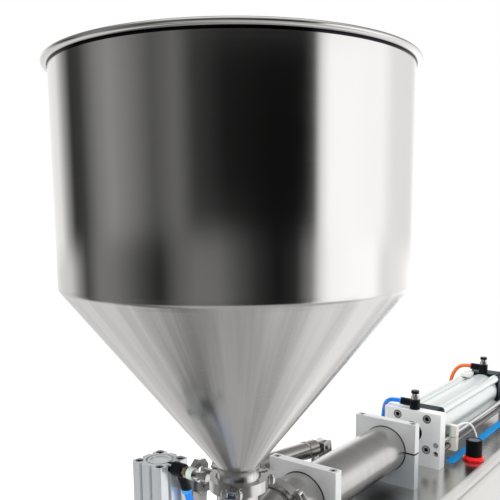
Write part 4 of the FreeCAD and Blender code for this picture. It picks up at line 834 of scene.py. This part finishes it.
@dataclass
class Studio:
    """Camera, lights, backdrop and floor."""

    camera_at: Point = (-0.9859, -0.4976, 0.7491)
    yaw: float = 38.22
    pitch: float = 8.28
    roll: float = -0.57
    # Millimetres, as Blender has them
    lens: float = 48.29
    sensor: float = 36.0
    shift: Span = (-0.0027, 0.1166)
    floor_side: float = 12.0
    floor_seen: float = 0.9
    floor_gone: float = 1.5
    lamp_aim: Point = (-0.1, 0.0, 0.4)
    # What metal mirrors, as (turn in degrees, brightness): at the horizon, above, low and far below
    around: Ring = (
        (0, 0.9), (20, 1.2), (45, 1.25), (60, 1.0), (86, 0.95), (97, 0.4), (107, 0.03), (118, 0.05),
        (132, 0.24), (143, 0.32), (155, 0.24), (172, 0.1), (186, 0.16), (197, 0.04), (215, 0.006),
        (240, 0.0), (260, 0.0), (267, 0.05), (271, 0.9), (277, 1.3), (318, 1.25), (330, 1.0), (360, 0.9))
    above: Ring = (
        (0, 0.3), (40, 0.24), (90, 0.25), (180, 0.12), (260, 0.15), (290, 0.45), (318, 0.6), (340, 0.38),
        (360, 0.3))
    low: Ring = (
        (0, 1.2), (20, 1.3), (45, 1.0), (56, 0.9), (76, 0.8), (97, 0.72), (107, 0.34), (117, 0.06),
        (129, 0.22), (140, 0.21), (151, 0.14), (163, 0.06), (174, 0.015), (186, 0.13), (197, 0.19),
        (209, 0.18), (221, 0.09), (232, 0.03), (244, 0.005), (256, 0.02), (266, 0.25), (271, 0.9),
        (278, 1.25), (312, 1.35), (323, 0.95), (344, 1.05), (360, 1.2))
    below: Ring = (
        (0, 0.95), (40, 0.75), (85, 0.8), (108, 0.74), (122, 0.62), (134, 0.34), (145, 0.16), (158, 0.2),
        (184, 0.44), (260, 0.47), (300, 0.56), (318, 0.82), (335, 1.05), (360, 1.0))
    # Rise or fall of the mirrored ray, from nought to one, over which each takes over
    above_from: Span = (0.22, 0.42)
    top_from: Span = (0.75, 0.92)
    low_from: Span = (0.05, 0.095)
    below_from: Span = (0.32, 0.58)
    top_light: float = 0.9
    plain_light: float = 0.75

    def build(self) -> None:
        """Set up the camera, the world, the floor and the lamps."""
        self.camera()
        self.world()
        self.floor()
        self.lights()

    def camera(self) -> None:
        """Camera where the photograph's was: forward, right and up from yaw, pitch and roll."""
        yaw, pitch, roll = (math.radians(a) for a in (self.yaw, self.pitch, self.roll))
        flat = Vector((math.cos(yaw), math.sin(yaw), 0))
        right = Vector((math.sin(yaw), -math.cos(yaw), 0))
        forward = flat * math.cos(pitch) - Vector((0, 0, math.sin(pitch)))
        up = flat * math.sin(pitch) + Vector((0, 0, math.cos(pitch)))
        turned_right = right * math.cos(roll) + up * math.sin(roll)
        turned_up = up * math.cos(roll) - right * math.sin(roll)
        data = bpy.data.cameras.new("photo_camera")
        data.lens, data.sensor_width = self.lens, self.sensor
        data.shift_x, data.shift_y = self.shift
        data.clip_start, data.clip_end = 0.01, 50.0
        camera = show(bpy.data.objects.new("photo_camera", data))
        turn = Matrix((turned_right, turned_up, -forward)).transposed().to_4x4()
        camera.matrix_world = Matrix.Translation(Vector(self.camera_at)) @ turn
        bpy.context.scene.camera = camera

    def world(self) -> None:
        """White behind the object, and soft boxes and dark flags in the reflections."""
        world = bpy.data.worlds.new("light_tent")
        bpy.context.scene.world = world
        world.use_nodes = True
        nodes = Nodes(world.node_tree)
        x = nodes.make("ShaderNodeSeparateXYZ", None, {0: nodes.make("ShaderNodeTexCoord", out="Generated")})
        rise = x.output("Z")
        fall = rise * -1.0
        turn = (x.output("Y").maths("ARCTAN2", x) / (2 * math.pi)).maths("FRACT")
        sky, above, low, below = (
            nodes.make("ShaderNodeValToRGB", {"stops": [(a / 360, light) for a, light in ring]}, {0: turn})
            for ring in (self.around, self.above, self.low, self.below))
        for light, share in ((above, rise.step(*self.above_from)),
                             (self.top_light, rise.step(*self.top_from)),
                             (low, fall.step(*self.low_from)), (below, fall.step(*self.below_from))):
            sky = sky * (1.0 - share) + light * share
        seen = nodes.make("ShaderNodeLightPath", out="Is Camera Ray")
        mirror = seen.output("Is Glossy Ray")
        light = mirror * sky + (1.0 - mirror) * self.plain_light
        nodes.join(world.node_tree.nodes["Background"].inputs["Color"], light * (1.0 - seen) + seen)

    def floor(self) -> None:
        """Plain pale floor that fades into the white behind it."""
        corners = np.array([(-1, -1, 0), (1, -1, 0), (1, 1, 0), (-1, 1, 0)]) * self.floor_side / 2
        floor = mesh_object("floor", corners, np.array([[0, 1, 2, 3]]))
        paint = Paint("floor_paint")
        x, y, _ = paint.place()
        reach = (x * x + y * y).maths("SQRT")
        paint.set(base_color=(0.93, 0.93, 0.93), roughness=0.6,
                  alpha=1.0 - reach.step(self.floor_seen, self.floor_gone),
                  emission_color=(1.0, 1.0, 1.0), emission_strength=0.15)
        floor.data.materials.append(paint.material)
        floor.visible_glossy = False

    def lights(self) -> None:
        """Three large soft lamps."""
        for name, spot, size, power in (("key_lamp", (-1.2, -2.6, 2.6), 2.2, 60.0),
                                        ("fill_lamp", (-3.0, 0.4, 1.4), 2.2, 60.0),
                                        ("top_lamp", (0.3, 0.4, 3.4), 2.6, 55.0)):
            data = bpy.data.lights.new(name, "AREA")
            data.size, data.energy = size, power
            lamp = show(bpy.data.objects.new(name, data))
            lamp.location = spot
            lamp.rotation_mode = "QUATERNION"
            lamp.rotation_quaternion = (Vector(self.lamp_aim) - Vector(spot)).to_track_quat("-Z", "Y")
            lamp.visible_glossy = False


# Sub-assemblies


@dataclass
class Cabinet(Assembly):
    """Sheet-steel table with its feet, strip and pressure knob."""

    dial: Point = (0.199, -0.084, 0.0)
    table_z: float = 0.290
    pale_from: float = 0.105
    knob_low: float = 0.2983
    knob_high: float = 0.328
    knob_radius: float = 0.0145
    knob_bevel: float = 0.0006
    knob_round: float = 0.0012
    knob_lip: float = 0.0032
    knob_slope: float = 0.0004
    knob_sink: float = 0.0014
    flutes: int = 36
    flute_depth: float = 0.0007
    disc_radius: float = 0.0107
    disc_flat: float = 0.0085
    disc_sink: float = 0.0004
    disc_dome: float = 0.0002

    def build(self) -> None:
        """Finish the cabinet's nodes and make its knob."""
        sheet = BrushedSheet("brushed_sheet", (0.78, 0.77, 0.745), self.table_z, self.pale_from)
        self.wear(sheet, "cabinet_shell", "bottom_plate", "rear_panel")
        self.wear(Metal("zinc_fastener", (0.62, 0.63, 0.64), 0.3, fine=400.0), "cabinet_fasteners")
        self.wear(Plastic("foot_rubber", (0.030, 0.030, 0.032), 0.75, depth=0.00012), "rubber_feet")
        self.wear(Plastic("strip_blue", (0.0, 0.32, 0.8), 0.35, depth=1e-5, contrast=0.06, specular=0.2),
                  "scale_strip")
        self.wear(Plastic("regulator_casting", (0.03, 0.03, 0.032), 0.45, specular=0.3), "regulator_body")
        self.knob()

    def knob(self) -> None:
        """Fluted pressure knob with a sunk disc, and the red ring under it."""
        black = Plastic("knob_black", (0.004, 0.004, 0.005), 0.3, specular=0.15)
        disc = Plastic("knob_disc", (0.1, 0.12, 0.14), 0.35)
        low, high, wide = self.knob_low, self.knob_high, self.knob_radius
        lip, floor = wide - self.knob_lip, high - self.knob_sink
        profile = [(0.0, low), (wide - self.knob_bevel, low), (wide, low + self.knob_bevel)]
        profile += arc((wide - self.knob_round, high - self.knob_round), self.knob_round, 0, 90, 5)
        profile += [(lip, high), (lip - self.knob_slope, floor), (0.0, floor)]
        cap = turned("fluted_knob", profile, self.dial, sides=216, flutes=self.flutes,
                     flute_depth=self.flute_depth, fluted_from=wide - HAIR)
        self.add(cap, "pressure_dial", black, "black_plastic", "pressure_knob")
        edge, top = self.disc_radius, high - self.disc_sink
        profile = [(0.0, floor + HAIR), (edge, floor + HAIR), (edge - self.disc_dome, top - self.disc_dome),
                   (self.disc_flat, top), (0.0, top)]
        self.add(turned("knob_face", profile, self.dial, sides=64), "pressure_dial", disc, "black_plastic")
        self.wear(Plastic("ring_red", (0.8, 0.006, 0.010), 0.24, coat=0.5), "knob_lock_ring")


@dataclass
class Hopper(Assembly):
    """Spun hopper as smooth sheet, with its bead and weld lines."""

    centre: Point = (-0.383, 0.0, 0.0)
    wall: float = 0.0015
    barrel: float = 0.200
    neck: float = 0.0255
    neck_bore: float = 0.0235
    bore_step: float = 0.0006
    weld_z: float = 0.443
    weld_out: float = 0.0002
    weld_radius: float = 0.0009
    knee_z: float = 0.6655
    knee_radius: float = 0.008
    rim_z: float = 0.9009
    rim_top: float = 0.9075
    rim_step: float = 0.0004
    bead: float = 0.005
    bead_squash: float = 0.68
    bead_inset: float = 0.003
    joint_z: float = 0.4228
    flange: float = 0.032
    flange_edge: float = 0.0023
    flange_back: float = 0.0042
    flange_fillet: float = 0.0015
    neck_from: float = 0.0055
    seam_turn: float = 40.0
    seam_radius: float = 0.0008
    seam_foot: Span = (0.0006, 0.001)
    seam_gap: float = 0.002
    seam_over: float = 0.006

    def profile(self) -> list[Span]:
        """Closed profile from the flange up the outside, over the bead and down the inside.

        Returns:
            Its (radius, height) corners.
        """
        neck, wide, low, knee = self.neck, self.barrel, self.joint_z, self.knee_radius
        turn = math.atan((wide - neck) / (self.knee_z - self.weld_z))
        centre = (wide - knee, self.knee_z + knee * math.tan(turn / 2))
        rim = (wide + self.bead - self.bead_inset, self.rim_top - self.bead * self.bead_squash)
        outside = [(self.flange, low), (self.flange, low + self.flange_edge),
                   (neck + self.flange_fillet, low + self.flange_back), (neck, low + self.neck_from),
                   (neck, self.weld_z)]
        outside += arc(centre, knee, -math.degrees(turn), 0, 7) + [(wide, self.rim_z)]
        outside += arc(rim, self.bead, 262, 480, 22, self.bead_squash)
        inside = [(wide - self.wall, self.rim_z - self.rim_step), (wide - self.wall, self.knee_z),
                  (neck - self.wall / math.cos(turn), self.weld_z),
                  (self.neck_bore, self.weld_z - self.bore_step), (self.neck_bore, low)]
        return outside + inside

    def seam(self) -> np.ndarray:
        """Path of the long seam: straight from the neck to the knee, over it and up to the rim.

        Returns:
            Its points, n by 3.
        """
        out, up = self.seam_foot
        reach = [self.neck + out, self.barrel - self.seam_gap, self.barrel - HAIR, self.barrel - HAIR]
        height = [self.weld_z + up, self.knee_z - self.seam_gap, self.knee_z + self.seam_over,
                  self.rim_z - self.seam_gap]
        run = np.linspace(0, 3, 241)
        reach, height = np.interp(run, range(4), reach), np.interp(run, range(4), height)
        way = math.radians(self.seam_turn)
        return np.stack([self.centre[0] + reach * math.cos(way), reach * math.sin(way), height], -1)

    def build(self) -> None:
        """Make the hopper's smooth surface, its weld bead and its long seam."""
        steel = SpunSteel("spun_steel", (0.76, 0.75, 0.735), self.centre, self.knee_z, self.rim_z,
                          self.barrel)
        weld = Metal("weld_line", (0.66, 0.65, 0.64), 0.26, fine=1800.0, contrast=0.25)
        skin = turned("hopper_skin", self.profile(), self.centre, sides=256, sharp=50.0)
        self.add(skin, "frame", steel, "stainless_spun", "hopper")
        bead = arc((self.neck + self.weld_out, self.weld_z), self.weld_radius, 0, 330, 12)
        self.add(turned("neck_weld", bead, self.centre, sides=128), "frame", weld, "stainless_spun")
        self.add(pipe("long_seam", self.seam(), self.seam_radius, 10), "frame", weld, "stainless_spun")


@dataclass
class Pump(Assembly):
    """Pump cylinder, its split clamps, the piston and the rod."""

    centre: Point = (0.0, 0.0, 0.350)
    block_x: float = 0.112
    tie_side: float = 0.02825
    sink: float = 0.0068
    front_x: float = -0.245
    rear_x: float = 0.005
    bore: float = 0.0381
    # Width of the rings of painted shade round the holes
    gap_width: float = 0.0012

    def build(self) -> None:
        """Finish the pump's nodes and add rings of painted shade round its holes."""
        self.wear(Metal("drawn_tube", (0.7, 0.69, 0.68), 0.23, Grain.AROUND_X, self.centre, fine=1300.0,
                        contrast=0.32, depth=0.000016), "material_cylinder")
        # Painted shade: a near-black band on the clamp plates along the split between their halves
        split_shade = Zone((-400, -60, 348.6), (400, 60, 351.4), (0.02, 0.02, 0.022), 0.0, 0.5)
        self.wear(Zoned("pale_plate", (0.79, 0.8, 0.8), (split_shade,), 0.45, 0.38, 0.5, 0.06),
                  "front_clamp_upper", "front_clamp_lower", "rear_clamp_upper")
        # Painted shade: a darker, bluer copy of the pale plate for the lower rear clamp half
        self.wear(Zoned("shaded_plate", (0.62, 0.67, 0.71), (split_shade,), 0.5, 0.36, 0.5, 0.06),
                  "rear_clamp_lower")
        self.wear(Metal("anodised_block", (0.84, 0.855, 0.86), 0.4, fine=500.0, contrast=0.04,
                        metallic=0.15), "mount_block", "screw_support")
        self.wear(Metal("ground_rod", (0.78, 0.78, 0.78), 0.14, Grain.AROUND_X, self.centre, fine=1500.0,
                        contrast=0.05, depth=0.000008), "piston_rod", "guide_rod", "rod_coupling")
        self.wear(Metal("actuator_tube", (0.56, 0.53, 0.51), 0.2, Grain.AROUND_X, self.centre, fine=1500.0,
                        contrast=0.12, depth=1e-5), "actuator_cylinder")
        black = (0.012, 0.012, 0.013)
        # Painted shade: socket screws sunk in recesses inside these boxes are coloured near black
        sunk_screw_shade = (Zone((-540, -30, 470), (-480, 30, 495), black, 0.0, 0.3),
                    Zone((-250, -60, 380), (25, 60, 399.2), black),
                    Zone((112.5, -40, 300), (134, 40, 400), black))
        self.wear(Zoned("socket_steel", (0.66, 0.66, 0.66), sunk_screw_shade, 0.7, 0.24, 0.5), "socket_screws")
        self.wear(Plastic("piston_white", (0.8, 0.79, 0.75), 0.45), "material_piston", "clamp_gaskets")
        # Near black: the seals' own colour, and painted shade in the rings round the holes
        seal_and_shade_black = Plastic("sink_black", (0.02, 0.02, 0.02), 0.5)
        self.wear(seal_and_shade_black, "piston_seals")
        # Painted shade: thin dark rings at the screw counterbores and where the tube meets the clamps
        holes = [(f"screw_sink_{index}", self.block_x, side * self.tie_side, up * self.tie_side, self.sink)
                 for index, (side, up) in enumerate(((-1, -1), (1, -1), (-1, 1), (1, 1)))]
        holes += [("front_bore_gap", self.front_x, 0.0, 0.0, self.bore),
                  ("rear_bore_gap", self.rear_x, 0.0, 0.0, self.bore)]
        for name, face, side, up, radius in holes:
            ring = self.gap_ring(name, (face, self.centre[1] + side, self.centre[2] + up), radius)
            self.add(ring, "frame", seal_and_shade_black, "clamp_plate")

    def gap_ring(self, name: str, place: Point, radius: float) -> Object:
        """Painted shade: a dark ring where a hole's edge meets what sits in it.

        Args:
            name: the object's name.
            place: middle of the hole, on a face that looks along minus x.
            radius: radius of the hole.

        Returns:
            The ring.
        """
        inner, outer = radius - HAIR, radius - HAIR + self.gap_width
        profile = [(inner, -HAIR), (outer, -HAIR), (outer - HAIR, HAIR), (inner + HAIR, HAIR)]
        return turned(name, profile, place, (-1, 0, 0))


@dataclass
class Valve(Assembly):
    """Three-way valve, its clamps, crank and nozzle."""

    axis: Point = (-0.383, 0.0, 0.350)

    def build(self) -> None:
        """Finish the valve's and the nozzle's nodes."""
        self.wear(Metal("turned_steel", (0.72, 0.71, 0.7), 0.17, Grain.AROUND_X, self.axis, fine=1100.0,
                        contrast=0.12, depth=1e-5),
                  "valve_body", "valve_end_cap", "valve_rotor", "crank_arm", "nozzle_body", "union_nuts",
                  "nozzle_tube", "nozzle_plunger")
        self.wear(Metal("cast_clamp", (0.74, 0.735, 0.725), 0.18, fine=260.0, contrast=0.14, depth=0.00006),
                  "cylinder_clamp_segments", "hopper_clamp_segments", "clamp_links", "swing_bolts",
                  "hopper_wing_nut", "cylinder_wing_nut", "actuator_rod", "actuator_bracket")
        self.wear(Metal("extruded_case", (0.69, 0.72, 0.735), 0.24, Grain.ALONG_Z, fine=1400.0, contrast=0.05,
                        depth=0.000006, metallic=0.68), "nozzle_cylinder")


@dataclass
class AirDrive(Assembly):
    """Main air cylinder, stroke screw, sensors, flow controls and hoses."""

    screw_start: Point = (0.120, -0.046, 0.317)
    screw_length: float = 0.427
    screw_radius: float = 0.005
    thread_depth: float = 0.0006
    thread_pitch: float = 0.002
    thread_starts: int = 2
    hose_radius: float = 0.004
    cable_radius: float = 0.00175

    def build(self) -> None:
        """Finish the air cylinder's nodes, cut the screw and lay the hoses."""
        self.wear(Metal("barrel_pale", (0.86, 0.9, 0.89), 0.33, Grain.ALONG_X, fine=1300.0, contrast=0.05,
                        metallic=0.5), "air_barrel", "air_piston")
        self.wear(Plastic("cap_dark", (0.002, 0.012, 0.018), 0.36, depth=0.00006, specular=0.1),
                  "air_front_cap", "air_rear_cap")
        self.wear(Plastic("bracket_cream", (0.8, 0.79, 0.72), 0.42), "sensor_bracket")
        self.wear(Plastic("switch_grey", (0.26, 0.31, 0.29)), "travel_switch")
        self.wear(Plastic("switch_white", (0.8, 0.8, 0.8)), "end_switch")
        self.screw()
        self.controls()
        self.hoses()

    def screw(self) -> None:
        """Cut the thread of the stroke screw."""
        steel = Metal("screw_steel", (0.34, 0.32, 0.31), 0.26, Grain.AROUND_X, self.screw_start, fine=1500.0,
                      contrast=0.3, depth=0.00002)
        rod = thread("stroke_thread", self.screw_start, (1, 0, 0), self.screw_radius, self.thread_depth,
                     self.thread_pitch, self.screw_length, starts=self.thread_starts)
        self.add(rod, "volume_screw", steel, "black_steel", "adjusting_screw")

    def controls(self) -> None:
        """Finish the three flow controls: black bodies, silver nuts, coloured collars."""
        silver, brass, blue = (0.72, 0.7, 0.67), (0.8, 0.63, 0.42), (0.03, 0.32, 0.8)
        red, black, gloss = (0.6, 0.08, 0.09), (0.004, 0.005, 0.008), (0.004, 0.004, 0.006)
        nuts = (Zone((110, -12, 407.7), (136, 12, 425), silver, 1.0, 0.2),
                Zone((466, -12, 405.2), (492, 12, 422), silver, 1.0, 0.2),
                Zone((-524, -41, 474), (-502, -35.2, 496), brass, 1.0, 0.22))
        collars = (Zone((110, 25.6, 390), (136, 29, 412), blue), Zone((466, 25.6, 388), (492, 29, 410), red),
                   Zone((-516, -38, 456), (-496, -22, 461.6), blue))
        self.wear(Zoned("flow_control", black, nuts + collars), "flow_controls")
        rings = (Zone((140, 60, 307.4), (166, 95, 311), blue), Zone((460, 60, 307.4), (490, 95, 311), red),
                 Zone((-462, -72, 230), (-457.4, -52, 250), blue))
        self.wear(Zoned("fitting_black", black, rings), "hose_fittings")
        self.wear(Plastic("knob_gloss", gloss, 0.26, specular=0.25), "volume_knob")
        for name, knob, nut_top in (("control_knob", "block_flow_knob", 419.5),
                                    ("control_knob_rear", "rear_flow_knob", 417.0)):
            nut = Zone((100, -20, 400), (500, 20, nut_top), silver, 1.0, 0.2)
            self.wear(Zoned(name, gloss, (nut,), roughness=0.26, specular=0.25), knob)
        cap = Zone((-522, -50.5, 474), (-504, -43, 496), (0.46, 0.52, 0.49), 0.0, 0.12)
        self.wear(Zoned("needle_steel", (0.7, 0.7, 0.68), (cap,), 1.0, 0.2, 0.5), "nozzle_flow_knob")

    def hoses(self) -> None:
        """Lay each hose on its route, in millimetres."""
        blue = Plastic("hose_blue", (0.0, 0.19, 0.76), 0.2, depth=1e-5, contrast=0.05, coat=0.25)
        orange = Plastic("hose_orange", (0.8, 0.17, 0.02), 0.22, depth=1e-5, contrast=0.05, coat=0.5)
        white = Plastic("cable_white", (0.82, 0.82, 0.81))
        Hose("block_line", "block_hose",
             ((123, 28, 401), (123, 39, 401), (125, 52, 398.5), (131, 62, 390), (139, 69, 377.5),
              (146, 74, 362), (150, 77.5, 345), (152, 79, 327), (152, 79, 310)),
             self.hose_radius, 0.1253, blue, "hose_blue").lay(self)
        Hose("rear_line", "rear_hose",
             ((479, 28, 398.5), (479, 39, 398.5), (478, 51, 396), (476.5, 60.5, 388), (475, 67, 376.5),
              (474, 71, 362), (474, 73.5, 345), (474, 75, 327), (474, 75, 310)),
             self.hose_radius, 0.1159, orange, "hose_orange").lay(self)
        Hose("nozzle_line", "nozzle_hose",
             ((-503.42, -29.8, 458.69), (-498.98, -29.8, 446.47), (-498.02, -32.5, 423.99),
              (-502.02, -39, 393.99), (-509.02, -48, 362.99), (-516.02, -56, 330), (-517.02, -60.5, 299),
              (-509.02, -62, 271), (-493, -62, 250), (-478, -62, 240), (-460, -62, 240)),
             self.hose_radius, 0.2558, blue, "hose_blue").lay(self)
        Hose("sensor_line", "sensor_cable",
             ((184.3, -55, 350), (194.3, -55, 350), (206.3, -59, 353), (219.3, -65, 351), (230.3, -69, 342),
              (238, -72, 329), (244, -73, 314), (244, -73, 296)),
             self.cable_radius, 0.1009, white, "cable_white").stretch(
                 self, "sensor_carriage", "frame")


def main() -> None:
    """Load the frame, set the stage and dress each sub-assembly."""
    logging.basicConfig(level=logging.INFO, format="%(message)s")
    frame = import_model()
    Studio().build()
    for kind in (AirDrive, Cabinet, Hopper, Pump, Valve):
        kind(frame["nodes"]).build()
        log.info("%s dressed", kind.__name__)
    bpy.context.scene.view_settings.view_transform = "Standard"


if __name__ == "__main__":
    main()
